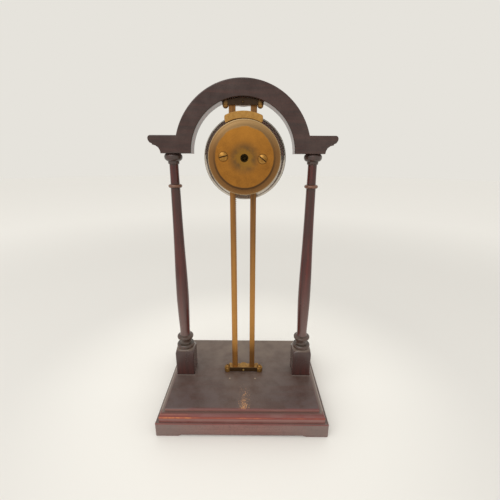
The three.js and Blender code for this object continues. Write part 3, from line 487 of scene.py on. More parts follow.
def board_marks(tree, place, colour, cloud, colours):
    """Dust with a painted sheen, a flecked bare patch and two spots on the board, and a pinker, paler moulded
    edge.
    """
    across, along, up = add(tree, "ShaderNodeSeparateXYZ", {0: place}).outputs
    off = add(tree, "ShaderNodeMath", {0: across}, operation="ABSOLUTE")
    colour = film(tree, colour, cloud, 0.4, 0.6, "4f4145", 0.6)
    # Dust and a painted sheen lie thicker towards the dial's side and along the middle.
    back = add(
        tree, "ShaderNodeMapRange",
        {"Value": along, "From Min": 34 * MM, "From Max": -34 * MM, "To Min": 0.1, "To Max": 0.62},
    )
    middle = add(
        tree, "ShaderNodeMapRange",
        {"Value": off, "From Min": 6 * MM, "From Max": 34 * MM, "To Min": 0.14, "To Max": 0.0},
    )
    dust = add(tree, "ShaderNodeMath", {0: back, 1: middle}, operation="ADD")
    uneven = add(
        tree, "ShaderNodeMapRange",
        {"Value": cloud, "From Min": 0.3, "From Max": 0.7, "To Min": 0.45, "To Max": 1.3},
    )
    dust = add(tree, "ShaderNodeMath", {0: dust, 1: uneven}, operation="MULTIPLY", use_clamp=True)
    colour = add(tree, "ShaderNodeMix", {0: dust, 6: colour, 7: "7a6a5b"}, data_type="RGBA")
    # Dust also lies in a line 1 mm wide along the near foot of each block.
    line = add(tree, "ShaderNodeMath", {0: off, 1: COLUMN_AXES["right"] * MM}, operation="SUBTRACT")
    line = add(tree, "ShaderNodeMath", {0: line}, operation="ABSOLUTE")
    line = add(tree, "ShaderNodeMath", {0: line, 1: (BLOCK_HALF + 0.2) * MM}, operation="LESS_THAN")
    foot = add(
        tree, "ShaderNodeMapRange",
        {
            "Value": along, "From Min": (BLOCK_HALF + 0.4) * MM, "From Max": (BLOCK_HALF + 1.5) * MM,
            "To Min": 0.6, "To Max": 0.0,
        },
    )
    near = add(tree, "ShaderNodeMath", {0: along, 1: (BLOCK_HALF - 0.1) * MM}, operation="GREATER_THAN")
    for other in (foot, near):
        line = add(tree, "ShaderNodeMath", {0: line, 1: other}, operation="MULTIPLY")
    colour = add(tree, "ShaderNodeMix", {0: line, 6: colour, 7: "8d8078"}, data_type="RGBA")
    # The bare patch runs in from the near edge for 24 mm and is 8 mm wide.
    # Its flecks are the tops of a pattern 0.85 mm across and 1.5 mm long.
    beside = add(tree, "ShaderNodeMath", {0: across, 1: 1.4 * MM}, operation="ADD")
    beside = add(tree, "ShaderNodeMath", {0: beside}, operation="ABSOLUTE")
    width = add(
        tree, "ShaderNodeMapRange",
        {"Value": beside, "From Min": 0.2 * MM, "From Max": 5.4 * MM, "To Min": 1.0, "To Max": 0.0},
    )
    length = add(tree, "ShaderNodeMapRange", {"Value": along, "From Min": 18 * MM, "From Max": 43 * MM})
    patch = add(tree, "ShaderNodeMath", {0: width, 1: length}, operation="MULTIPLY")
    stretched = add(
        tree, "ShaderNodeMapping", {"Vector": place, "Scale": (1000 / 0.85, 1000 / 1.5, 1000 / 0.85)},
    )
    fleck = add(
        tree, "ShaderNodeTexNoise", {"Vector": stretched, "Scale": 1.0, "Detail": 2.0, "Roughness": 0.7},
    )
    raised = add(tree, "ShaderNodeMath", {0: patch, 1: 0.2, 2: fleck}, operation="MULTIPLY_ADD")
    flecks = add(tree, "ShaderNodeMapRange", {"Value": raised, "From Min": 0.65, "From Max": 0.71})
    kept = add(tree, "ShaderNodeMath", {0: patch, 1: 0.03}, operation="GREATER_THAN")
    flecks = add(tree, "ShaderNodeMath", {0: flecks, 1: kept}, operation="MULTIPLY")
    colour = add(tree, "ShaderNodeMix", {0: flecks, 6: colour, 7: "b4845a"}, data_type="RGBA")
    # The two spots are 1.4 mm across.
    for spot_x in (11.7, -10.3):
        spot = (spot_x * MM, 12 * MM, BOARD_HIGH.z * MM)
        far = add(tree, "ShaderNodeVectorMath", {0: place, 1: spot}, operation="DISTANCE")
        colour = film(tree, colour, far, 0.5 * MM, 0.9 * MM, "b09a80", 0.0, 0.7)
    # The moulded edge below is pinker, and greyer along the sides.
    deep = add(tree, "ShaderNodeMath", {0: along}, operation="ABSOLUTE")
    lean = add(tree, "ShaderNodeMath", {0: off, 1: deep}, operation="SUBTRACT")
    rim = add(
        tree, "ShaderNodeMath", {0: lean, 1: (BOARD_HIGH.x - BOARD_HIGH.y) * MM}, operation="GREATER_THAN",
    )
    edge = add(tree, "ShaderNodeMix", {0: rim, 6: colours.mahogany_base, 7: "907d74"}, data_type="RGBA")
    return film(tree, edge, up, 20.7 * MM, 21.3 * MM, colour)


def column_dust_and_painted_light(tree, place, colour, cloud, colours):
    """Grey bloom, partly painted light, low on the outer side of a shaft, grey-green rings and capital with a
    painted highlight and painted shade, and a greyer block painted darker at its foot and lighter upwards.
    """
    apart = add(tree, "ShaderNodeSeparateXYZ", {0: place}).outputs
    up = apart["Z"]
    off = add(tree, "ShaderNodeMath", {0: apart["X"]}, operation="ABSOLUTE")
    # A grey bloom, partly dust and partly painted light, pales the lower shaft, most on its outer side.
    dust = add(
        tree, "ShaderNodeMapRange", {"Value": up, "From Min": 118 * MM, "From Max": 64 * MM, "To Max": 0.6},
    )
    clear = add(tree, "ShaderNodeMath", {0: up, 1: 58.2 * MM}, operation="GREATER_THAN")
    axis = COLUMN_AXES["right"]
    outer = add(
        tree, "ShaderNodeMapRange",
        {
            "Value": off, "From Min": (axis - 3.6) * MM, "From Max": (axis - 0.8) * MM,
            "To Min": 0.1, "To Max": 1.0,
        },
    )
    for other in (clear, outer):
        dust = add(tree, "ShaderNodeMath", {0: dust, 1: other}, operation="MULTIPLY")
    colour = add(tree, "ShaderNodeMix", {0: dust, 6: colour, 7: "7d6660"}, data_type="RGBA")
    # Bands of dust, painted highlight and painted shade, as the table of toned bands gives them.
    for level, reach, share, tone in COLUMN_TONE_BANDS:
        ring = add(tree, "ShaderNodeMath", {0: up, 1: level * MM, 2: reach * MM}, operation="COMPARE")
        ring = add(tree, "ShaderNodeMath", {0: ring, 1: share}, operation="MULTIPLY")
        colour = add(tree, "ShaderNodeMix", {0: ring, 6: colour, 7: tone}, data_type="RGBA")
    # The block is greyer, painted darker at its foot and lighter upwards, up to a painted highlight on its
    # shoulder.
    block = film(tree, "463a37", up, (BLOCK_TOP - 1.8) * MM, (BLOCK_TOP - 0.4) * MM, "857769", 0.65)
    below = add(
        tree, "ShaderNodeMapRange",
        {
            "Value": up, "From Min": BLOCK_FOOT * MM, "From Max": (BLOCK_FOOT + 14) * MM,
            "To Min": 0.25, "To Max": 0.75,
        },
    )
    square = add(tree, "ShaderNodeMath", {0: up, 1: (BLOCK_TOP + 0.05) * MM}, operation="LESS_THAN")
    grey_and_lit = add(tree, "ShaderNodeMath", {0: below, 1: square}, operation="MULTIPLY")
    return add(tree, "ShaderNodeMix", {0: grey_and_lit, 6: colour, 7: block}, data_type="RGBA")


def greyer_ends(tree, place, colour, cloud, colours):
    """A grey tone that thickens towards the two ends of the plinth."""
    across = add(tree, "ShaderNodeSeparateXYZ", {0: place}).outputs["X"]
    off = add(tree, "ShaderNodeMath", {0: across}, operation="ABSOLUTE")
    return film(tree, colour, off, 18 * MM, 56 * MM, "6e6863", 0.5)


def aged_brass(name, light, dark, roughness, grain_axis=None, metallic=1.0):
    """Rolled brass under old lacquer that has gone brown in clouds and specks.

    The eye gets a warm metal with soft reflections, faint darker mottling, pin-head spots of tarnish, brown
    dirt and painted shade in the corners, and pale metal, partly a painted highlight, where an edge is
    rubbed.
    On a bar, painted shade and painted reflection run along its length. Thick old lacquer makes it less
    metallic.
    """
    material, tree, shader, place = blank_finish(name)
    # Mottling is 2.5 mm across; drawn bars carry it 1.5 mm across and 50 mm along.
    scale = [1000 / 2.5] * 3
    if grain_axis is not None:
        scale = [1000 / 1.5] * 3
        scale[grain_axis] = 1000 / 50
    along = add(tree, "ShaderNodeMapping", {"Vector": place, "Scale": scale})
    mottle = add(tree, "ShaderNodeTexNoise", {"Vector": along, "Scale": 1.0, "Detail": 4.0, "Roughness": 0.6})
    colour = film(tree, light, mottle, 0.38, 0.68, dark)
    if grain_axis is not None:
        # A bar is painted browner at its top, as painted shade under the drum and arch, more golden lower
        # down, as a painted reflection, and brown again just above its foot, as a painted reflection of the
        # board.
        level = add(tree, "ShaderNodeSeparateXYZ", {0: place}).outputs[grain_axis]
        golden_reflection = add(
            tree, "ShaderNodeMapRange",
            {"Value": level, "From Min": 150 * MM, "From Max": 75 * MM, "To Max": 0.75},
        )
        foot = add(tree, "ShaderNodeMapRange", {"Value": level, "From Min": 40 * MM, "From Max": 52 * MM})
        golden_reflection = add(tree, "ShaderNodeMath", {0: golden_reflection, 1: foot}, operation="MULTIPLY")
        colour = add(tree, "ShaderNodeMix", {0: golden_reflection, 6: colour, 7: "c48d46"}, data_type="RGBA")
    # Specks of tarnish are the tops of a pattern 0.7 mm across.
    speck = add(tree, "ShaderNodeTexNoise", {"Vector": place, "Scale": 1000 / 0.7, "Detail": 2.0})
    colour = film(tree, colour, speck, 0.62, 0.74, "59391a", 0.4)
    rough = add(
        tree, "ShaderNodeMapRange",
        {"Value": mottle, "From Min": 0.3, "From Max": 0.7, "To Min": roughness, "To Max": roughness + 0.12},
    )
    handled_metal(tree, shader, colour, rough, speck, metallic)
    return material


def handled_metal(tree, shader, colour, rough, height, metallic):
    """Ends a brass finish: pale rubbed edges, partly painted highlight, brown dirt and painted shade, and a
    faint unevenness.
    """
    for mark, tone in (("wear_and_sheen", "e2cda2"), ("dirt_and_shade", "33241a")):
        share = add(tree, "ShaderNodeAttribute", attribute_name=mark).outputs["Fac"]
        colour = add(tree, "ShaderNodeMix", {0: share, 6: colour, 7: tone}, data_type="RGBA")
    relief = add(tree, "ShaderNodeBump", {"Height": height, "Strength": 0.08, "Distance": 0.05 * MM})
    feed(tree, shader, {"Base Color": colour, "Roughness": rough, "Normal": relief, "Metallic": metallic})


def lacquered_cover_brass(name, colours):
    """Spun brass cover: orange lacquer on its flat, paler metal on its shoulder, partly rubbed and partly
    painted reflection.

    The eye gets a fine-grained orange disc with a smoky ring round the hole, a dark line of painted shade
    where the flat ends, a painted shadow round the screws, and a duller shoulder that is painted beige at the
    top and browner at the sides.
    """
    material, tree, shader, place = blank_finish(name)
    # Lacquer grain is 0.5 mm across, its clouds 6 mm.
    fine = add(
        tree, "ShaderNodeTexNoise", {"Vector": place, "Scale": 1000 / 0.5, "Detail": 3.0, "Roughness": 0.7},
    )
    cloud = add(
        tree, "ShaderNodeTexNoise", {"Vector": place, "Scale": 1000 / 6, "Detail": 4.0, "Roughness": 0.6},
    )
    both = add(tree, "ShaderNodeMath", {0: fine, 1: cloud}, operation="ADD")
    centred = add(
        tree, "ShaderNodeMapping",
        {"Vector": place, "Location": (-DRUM_AXIS.x * MM, 0, -DRUM_AXIS.z * MM), "Scale": (1, 0, 1)},
    )
    far = add(tree, "ShaderNodeVectorMath", {0: centred}, operation="LENGTH")
    up = add(tree, "ShaderNodeSeparateXYZ", {0: centred}).outputs[2]
    disc = film(tree, colours.lacquer, both, 0.74, 1.3, colours.lacquer_dark)
    disc = film(tree, disc, up, 4 * MM, 17 * MM, "c08436", 0.45)
    # Smoke from oil lies in a broken ring 6 to 11 mm from the middle, with an olive stain inside it.
    ragged = add(tree, "ShaderNodeMath", {0: cloud, 1: 9 * MM, 2: far}, operation="MULTIPLY_ADD")
    disc = film(tree, disc, ragged, 8 * MM, 14 * MM, "86662b", 0.0, 0.7, interpolation_type="SMOOTHSTEP")
    rise = add(
        tree, "ShaderNodeMapRange", {"Value": ragged, "From Min": 8.5 * MM, "From Max": 12 * MM},
        interpolation_type="SMOOTHSTEP",
    )
    fall = add(
        tree, "ShaderNodeMapRange",
        {"Value": ragged, "From Min": 12 * MM, "From Max": 17 * MM, "To Min": 1.0, "To Max": 0.0},
        interpolation_type="SMOOTHSTEP",
    )
    ring = add(tree, "ShaderNodeMath", {0: rise, 1: fall}, operation="MULTIPLY")
    broken = add(
        tree, "ShaderNodeMapRange",
        {"Value": cloud, "From Min": 0.35, "From Max": 0.65, "To Min": 0.15, "To Max": 0.75},
    )
    smoke = add(tree, "ShaderNodeMath", {0: ring, 1: broken}, operation="MULTIPLY")
    disc = add(tree, "ShaderNodeMix", {0: smoke, 6: disc, 7: "5c4a33"}, data_type="RGBA")
    # A painted shadow 0.5 mm wide runs round each screw head.
    for node in COVER_SCREWS:
        low, high = node_box(node)
        middle = (low + high) / 2 - DRUM_AXIS
        spot = (middle.x * MM, 0, middle.z * MM)
        apart = add(tree, "ShaderNodeVectorMath", {0: centred, 1: spot}, operation="DISTANCE")
        disc = film(tree, disc, apart, 3.05 * MM, 3.6 * MM, "4a2f14", 0.0, 0.8)
    # The shoulder is painted beige towards its top and browner below, a painted reflection of the light
    # above.
    shoulder = film(tree, "88623a", up, 4 * MM, 22 * MM, "a28258")
    worn = add(tree, "ShaderNodeMath", {0: cloud, 1: 2.4 * MM, 2: far}, operation="MULTIPLY_ADD")
    outside = add(tree, "ShaderNodeMapRange", {"Value": worn, "From Min": 21.0 * MM, "From Max": 21.6 * MM})
    colour = add(tree, "ShaderNodeMix", {0: outside, 6: disc, 7: shoulder}, data_type="RGBA")
    rough = add(tree, "ShaderNodeMapRange", {"Value": outside, "To Min": 0.44, "To Max": 0.55})
    handled_metal(tree, shader, colour, rough, fine, 0.9)
    return material


def polished_metal(name, light, dark, roughness, haze_mm, metallic=1.0):
    """Buffed or ground metal with a thin haze, for the nickel plate, the steel and the blued steel.

    The eye gets clear reflections on the plate, softer ones on the steel, and a faint cloudiness on both. A
    dull film on the plate, less metallic, keeps its dark reflections from going black.
    """
    material, tree, shader, place = blank_finish(name)
    haze = add(tree, "ShaderNodeTexNoise", {"Vector": place, "Scale": 1000 / haze_mm, "Detail": 4.0})
    colour = film(tree, light, haze, 0.35, 0.7, dark)
    rough = add(
        tree, "ShaderNodeMapRange",
        {"Value": haze, "From Min": 0.3, "From Max": 0.7, "To Min": roughness, "To Max": roughness * 1.8},
    )
    # Polishing marks are 0.25 mm apart, coarser than real ones so that they can show.
    mark = add(tree, "ShaderNodeTexNoise", {"Vector": place, "Scale": 1000 / 0.25, "Detail": 1.0})
    relief = add(tree, "ShaderNodeBump", {"Height": mark, "Strength": 0.002, "Distance": 0.02 * MM})
    feed(tree, shader, {"Base Color": colour, "Roughness": rough, "Normal": relief, "Metallic": metallic})
    return material


def cream_enamel(name, colours):
    """Fired enamel: a cream white with a soft gloss, faint clouds of yellowing and hair-fine crazing."""
    material, tree, shader, place = blank_finish(name)
    # Clouds of yellowing are 9 mm across.
    # Crazing runs round cells 4 mm across, drawn 0.1 mm wide so that it shows.
    age = add(tree, "ShaderNodeTexNoise", {"Vector": place, "Scale": 1000 / 9, "Detail": 4.0})
    crack = add(
        tree, "ShaderNodeTexVoronoi", {"Vector": place, "Scale": 1000 / 4}, feature="DISTANCE_TO_EDGE",
    )
    colour = film(tree, colours.enamel, age, 0.4, 0.75, "e4d4aa", 0.55)
    colour = film(tree, colour, crack, 0.0, 0.025, "9a8b70", 0.0, 0.22)
    rough = add(
        tree, "ShaderNodeMapRange",
        {"Value": age, "From Min": 0.3, "From Max": 0.7, "To Min": 0.22, "To Max": 0.36},
    )
    feed(tree, shader, {"Base Color": colour, "Roughness": rough})
    return material


def dial_ink(name):
    """Black ceramic ink: matt, a little brown, thinner in spots 0.7 mm across, as if printed by hand."""
    material, tree, shader, place = blank_finish(name)
    thin = add(tree, "ShaderNodeTexNoise", {"Vector": place, "Scale": 1000 / 0.7, "Detail": 3.0})
    colour = film(tree, "171412", thin, 0.5, 0.8, "4a4038", 0.7)
    feed(tree, shader, {"Base Color": colour, "Roughness": 0.55})
    return material


def watch_glass(name):
    """Thin domed glass: clear, with a film of dust in clouds 8 mm across that softens the reflections."""
    material, tree, shader, place = blank_finish(name)
    dust = add(tree, "ShaderNodeTexNoise", {"Vector": place, "Scale": 1000 / 8, "Detail": 4.0})
    rough = add(
        tree, "ShaderNodeMapRange", {"Value": dust, "From Min": 0.45, "From Max": 0.8, "To Max": 0.04},
    )
    feed(tree, shader, {"Base Color": "fdfefe", "Roughness": rough, "Transmission Weight": 1.0, "IOR": 1.5})
    return material


def pale_paper(name, colours):
    """Matt paper of the studio sweep, painted with light: palest round the clock, a painted shade farther
    out, and pale again far off.
    """
    material, tree, shader, place = blank_finish(name)
    flat = add(tree, "ShaderNodeMapping", {"Vector": place, "Location": (0, 20 * MM, 0), "Scale": (1, 1, 0)})
    out = add(tree, "ShaderNodeVectorMath", {0: flat}, operation="LENGTH")
    colour = colours.floor
    # A painted shade greys the paper farther out, and the paper turns pale again far off.
    for start, end, tone in ((95 * MM, 230 * MM, "dfddd9"), (400 * MM, 1000 * MM, "efede9")):
        colour = film(tree, colour, out, start, end, tone, interpolation_type="SMOOTHSTEP")
    feed(tree, shader, {"Base Color": colour, "Roughness": 0.9, "Specular IOR Level": 0.1})
    return material


def shared_finish(name, make, *settings):
    """A finish by name, made the first time it is asked for."""
    return bpy.data.materials.get(name) or make(name, *settings)


def blued_steel(colours):
    """Heat-blued steel of the hands and the hairspring."""
    return shared_finish("heat_blued_steel", polished_metal, colours.blued_steel, "2c2140", 0.22, 5.0)


class Form:
    """Points, faces, wear and sheen, and dirt and painted shade of one piece, in millimetres."""

    def __init__(self):
        self.points = []
        self.faces = []
        self.wear_and_sheen = []
        self.dirt_and_shade = []

    def loft(self, rings, around=False):
        """Adds a closed body through rings of points; around joins the last ring to the first."""
        start = len(self.points)
        count = len(rings[0][0])
        for points, wear_and_sheen, dirt_and_shade in rings:
            self.points.extend(points)
            self.wear_and_sheen.extend([wear_and_sheen] * count)
            self.dirt_and_shade.extend([dirt_and_shade] * count)
        for level in range(len(rings) if around else len(rings) - 1):
            low = start + level * count
            high = start + (level + 1) % len(rings) * count
            for place in range(count):
                following = (place + 1) % count
                self.faces.append((low + place, low + following, high + following, high + place))
        if not around:
            last = start + (len(rings) - 1) * count
            self.faces.append(tuple(range(start, start + count)))
            self.faces.append(tuple(range(last, last + count)))
        return self

    def age(self, wear_and_sheen=None, dirt_and_shade=None):
        """Changes the wear and sheen or the dirt and painted shade by place; each is a function of a point
        and its value so far.
        """
        if wear_and_sheen:
            self.wear_and_sheen = [wear_and_sheen(point, value) for point, value in zip(self.points, self.wear_and_sheen)]
        if dirt_and_shade:
            self.dirt_and_shade = [dirt_and_shade(point, value) for point, value in zip(self.points, self.dirt_and_shade)]
        return self

    def mesh(self, name):
        """The mesh in metres, with its wear and sheen and its dirt and painted shade kept as attributes."""
        made = bpy.data.meshes.new(name)
        made.from_pydata([point * MM for point in self.points], [], self.faces)
        for key, values in (("wear_and_sheen", self.wear_and_sheen), ("dirt_and_shade", self.dirt_and_shade)):
            made.attributes.new(key, "FLOAT", "POINT").data.foreach_set("value", values)
        return made


def outward(mesh, sharp_angle):
    """Merges doubles, turns the faces outwards and shades them smooth up to an angle."""
    work = bmesh.new()
    work.from_mesh(mesh)
    bmesh.ops.remove_doubles(work, verts=work.verts, dist=1e-7)
    bmesh.ops.recalc_face_normals(work, faces=work.faces)
    work.to_mesh(mesh)
    work.free()
    mesh.shade_smooth()
    mesh.set_sharp_from_angle(angle=math.radians(sharp_angle))


def shape(name, form):
    """An object at the origin that holds a form's mesh."""
    made = bpy.data.objects.new(name, form.mesh(name))
    bpy.context.scene.collection.objects.link(made)
    return made


def carve(piece, form, operation):
    """Cuts a piece by a form, which is then thrown away."""
    outward(piece.data, 30)
    cutter = shape(piece.name + "_cutter", form)
    outward(cutter.data, 30)
    cut = piece.modifiers.new("cut", "BOOLEAN")
    cut.operation = operation
    cut.solver = "EXACT"
    cut.object = cutter
    evaluated = piece.evaluated_get(bpy.context.evaluated_depsgraph_get())
    whole = bpy.data.meshes.new_from_object(evaluated)
    piece.modifiers.remove(cut)
    piece.data = whole
    bpy.data.objects.remove(cutter)
    if not whole.polygons:
        raise RuntimeError("nothing is left of " + piece.name)


def paint_shade(piece, darkening):
    """Sets painted shade on the points of a finished mesh, as a function of their places in millimetres."""
    marks = piece.data.attributes["dirt_and_shade"].data
    marks.foreach_set("value", [darkening(vertex.co / MM) for vertex in piece.data.vertices])


def grown(name, tree, values, source=None):
    """An object with the plain mesh that a node tree grows from its named inputs."""
    made = bpy.data.objects.new(name, source or bpy.data.meshes.new(name))
    bpy.context.scene.collection.objects.link(made)
    modifier = made.modifiers.new(tree.name, "NODES")
    modifier.node_group = tree
    for item in tree.interface.items_tree:
        if item.in_out == "INPUT" and item.name in values:
            modifier[item.identifier] = values[item.name]
    evaluated = made.evaluated_get(bpy.context.evaluated_depsgraph_get())
    whole = bpy.data.meshes.new_from_object(evaluated)
    made.modifiers.remove(modifier)
    made.data = whole
    if not whole.polygons:
        raise RuntimeError("no faces grew for " + name)
    return made


def grower(name, kinds):
    """A node tree that grows a mesh, and its inputs, from their names and their kinds of socket."""
    tree = bpy.data.node_groups.new(name, "GeometryNodeTree")
    for key, kind in kinds.items():
        tree.interface.new_socket(key, in_out="INPUT", socket_type="NodeSocket" + kind)
    tree.interface.new_socket("Mesh", in_out="OUTPUT", socket_type="NodeSocketGeometry")
    return tree, add(tree, "NodeGroupInput").outputs


def finish_growth(tree, made, material):
    """Ends a node tree: its instances made real, and their material set."""
    made = add(tree, "GeometryNodeRealizeInstances", {"Geometry": made})
    made = add(tree, "GeometryNodeSetMaterial", {"Geometry": made, "Material": material})
    add(tree, "NodeGroupOutput", {0: made})
    return tree


def settle(piece, material, body, slot, *nodes, sharp_angle=38):
    """Finishes a piece: faces, material, the body it rides and the nodes that it stands for."""
    outward(piece.data, sharp_angle)
    piece.data.materials.clear()
    piece.data.materials.append(material)
    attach(piece, body)
    if nodes:
        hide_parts(*nodes)


def smooth_run(points, steps):
    """A run of profile points with Catmull-Rom points between them, its ends kept."""
    ends = [points[0], *points, points[-1]]
    made = []
    for corners in zip(ends, ends[1:], ends[2:], ends[3:]):
        for step in range(steps):
            t = step / steps
            point = []
            for a, b, c, d in zip(*corners):
                square = 2 * a - 5 * b + 4 * c - d
                cube = 3 * b - a - 3 * c + d
                point.append(0.5 * (2 * b + (c - a) * t + square * t * t + cube * t ** 3))
            made.append(tuple(point))
    made.append(tuple(points[-1]))
    return made


def rectangle(half_x, half_y, corner, side_steps, corner_steps=4):
    """A rectangle with rounded corners, counter-clockwise, with points along its sides."""
    corners = []
    for quarter, (side_x, side_y) in enumerate(((1, 1), (-1, 1), (-1, -1), (1, -1))):
        middle = Vector((side_x * (half_x - corner), side_y * (half_y - corner)))
        arc = []
        for step in range(corner_steps + 1):
            angle = math.radians(90 * (quarter + step / corner_steps))
            arc.append(middle + corner * Vector((math.cos(angle), math.sin(angle))))
        corners.append(arc)
    points = []
    for quarter, arc in enumerate(corners):
        points.extend(arc)
        goal = corners[(quarter + 1) % 4][0]
        points.extend(arc[-1].lerp(goal, step / side_steps) for step in range(1, side_steps))
    return points


def board_outline(corner_place, depth, corner, side_steps):
    """A board's outline in plan, drawn in by a depth from its farthest corner."""
    return rectangle(corner_place.x - depth, corner_place.y - depth, corner, side_steps)


def arc_points(middle, radius, first, last, steps):
    """Points of an arc in the plane, between two angles in degrees."""
    made = []
    for step in range(steps + 1):
        angle = math.radians(first + (last - first) * step / steps)
        made.append(Vector((middle[0] + radius * math.cos(angle), middle[1] + radius * math.sin(angle))))
    return made


def mirrored(points):
    """Outline points mirrored left to right, in the other order."""
    return [Vector((-point.x, point.y)) for point in reversed(points)]


def on_dial(points, turn):
    """Points drawn upright about the dial's middle, turned clockwise by degrees and put in their place."""
    angle = math.radians(turn)
    made = []
    for point in points:
        across = point.x * math.cos(angle) + point.y * math.sin(angle)
        up = point.y * math.cos(angle) - point.x * math.sin(angle)
        made.append(Vector((DRUM_AXIS.x + across, DRUM_AXIS.z + up)))
    return made


def drawn_in(points, depth):
    """A counter-clockwise outline drawn in by a depth, with its corners kept."""
    made = []
    for place, point in enumerate(points):
        before = (point - points[place - 1]).normalized()
        after = (points[(place + 1) % len(points)] - point).normalized()
        inward = Vector((-before.y - after.y, before.x + after.x)).normalized()
        spread = max(0.4, inward.dot(Vector((-before.y, before.x))))
        made.append(point + inward * (depth / spread))
    return made


def rounded(edge, steps):
    """Steps of a rounded edge from its side to its top: distance in, distance down and share of wear and
    sheen.
    """
    made = []
    for step in range(steps + 1):
        angle = math.radians(90 * step / steps)
        made.append((edge * (1 - math.cos(angle)), edge * (1 - math.sin(angle)), math.sin(2 * angle)))
    return made


def plate_rings(points, low, high, edge, lift, wear_and_sheen=0.0, steps=4):
    """Rings of a flat plate with rounded edges that can carry wear and sheen; lift puts an outline point and
    a level into space.
    """
    skin = 0.2
    curve = rounded(edge, steps)
    levels = [(edge + skin, low, 0.0)]
    levels += [(depth, low + drop, rubbed) for depth, drop, rubbed in reversed(curve)]
    levels += [(depth, high - drop, rubbed) for depth, drop, rubbed in curve]
    levels.append((edge + skin, high, 0.0))
    rings = []
    for depth, level, rubbed in levels:
        rings.append(([lift(point, level) for point in drawn_in(points, depth)], wear_and_sheen * rubbed, 0.0))
    return rings


def upright(point, level):
    """An outline drawn in plan, at a height."""
    return Vector((point.x, point.y, level))


def facing(point, level):
    """An outline drawn in front view, at a depth."""
    return Vector((point.x, level, point.y))


def turned_rings(profile, segments, middle, axis):
    """Rings of a form turned about Y or Z through a middle; profile is radius, level, wear and sheen, and
    dirt and painted shade.
    """
    rings = []
    for radius, level, wear_and_sheen, dirt_and_shade in profile:
        points = []
        for segment in range(segments):
            angle = math.tau * segment / segments
            across = radius * math.cos(angle)
            up = radius * math.sin(angle)
            if axis == "Z":
                points.append(Vector((middle.x + across, middle.y + up, level)))
            else:
                points.append(Vector((middle.x + across, level, middle.z + up)))
        rings.append((points, wear_and_sheen, dirt_and_shade))
    return rings


def plain(profile):
    """A profile of radius and level with no wear or sheen and no dirt or shade."""
    return [(radius, level, 0.0, 0.0) for radius, level in profile]


def spun(profile, segments, around=True):
    """A clean form turned about the drum's axis, closed round on itself or at its two ends."""
    return Form().loft(turned_rings(plain(profile), segments, DRUM_AXIS, "Y"), around)


def steady(value):
    """A number from 0 to 1, eased at both ends."""
    value = min(1.0, max(0.0, value))
    return value * value * (3 - 2 * value)


def near_side(point, value):
    """Wear on the base, and the painted sheen on its moulding: full along the handled side, slight elsewhere,
    and uneven at its right end.
    """
    near = steady((point.y - HANDLED_SIDE) / 3)
    if point.z < CROWN:
        return value * (1 + 0.3 * steady((point.x - 30) / 18)) * (0.05 + 0.95 * near)
    return value * (0.7 + near * (0.3 - 0.9 * steady((point.x - 36) / 10)))


def darker_end_ledges(point, value):
    """Dark grey on the plinth's ledge along its two ends."""
    on_end = PLINTH_HIGH.x - abs(point.x) < PLINTH_HIGH.y - abs(point.y)
    if on_end and point.z > PLINTH_HIGH.z - 0.1:
        return max(value, 0.6)
    return value


class RackClockStageOperator(bpy.types.Operator):
    """Lays the pale floor, the soft light and the camera."""

    bl_idname = "rack_clock.stage"
    bl_label = "Stage"

    def execute(self, context):
        scene = context.scene
        stage = scene.rack_clock_stage
        scene.view_settings.view_transform = "Standard"
        floor = bpy.data.meshes.new("floor")
        work = bmesh.new()
        bmesh.ops.create_circle(work, cap_ends=True, segments=96, radius=FLOOR_RADIUS)
        work.to_mesh(floor)
        work.free()
        floor.materials.append(shared_finish("studio_paper", pale_paper, scene.rack_clock_colours))
        ground = bpy.data.objects.new("floor", floor)
        scene.collection.objects.link(ground)

        lamp = bpy.data.lights.new("window_lamp", "AREA")
        lamp.shape = "RECTANGLE"
        lamp.size, lamp.size_y = LAMP_SIZE
        lamp.energy = stage.lamp_power
        light = bpy.data.objects.new("window_lamp", lamp)
        light.location = LAMP_PLACE
        light.rotation_euler = (LAMP_AIM - light.location).to_track_quat("-Z", "Y").to_euler()
        scene.collection.objects.link(light)

        world = bpy.data.worlds.new("studio_room")
        world.use_nodes = True
        tree = world.node_tree
        tree.nodes.clear()
        path = add(tree, "ShaderNodeLightPath").outputs
        seen = add(tree, "ShaderNodeMath", {0: path["Is Camera Ray"], 1: path["Is Glossy Ray"]})
        seen = add(tree, "ShaderNodeMath", {0: seen, 1: path["Is Transmission Ray"]}, use_clamp=True)
        room = add(tree, "ShaderNodeBackground", {"Color": "fffdf8", "Strength": stage.room_light})
        backdrop = add(tree, "ShaderNodeBackground", {"Color": "e6e3dc", "Strength": 1.0})
        mixed = add(tree, "ShaderNodeMixShader", {0: seen, 1: room, 2: backdrop})
        add(tree, "ShaderNodeOutputWorld", {"Surface": mixed})
        scene.world = world

        camera = bpy.data.objects.new("photo_camera", bpy.data.cameras.new("photo_camera"))
        camera.data.sensor_width = SENSOR_WIDTH
        camera.data.lens = stage.camera_lens
        camera.data.clip_start = 0.01
        camera.location = stage.camera_place
        camera.rotation_euler = stage.camera_turn
        scene.collection.objects.link(camera)
        scene.camera = camera
        return {"FINISHED"}


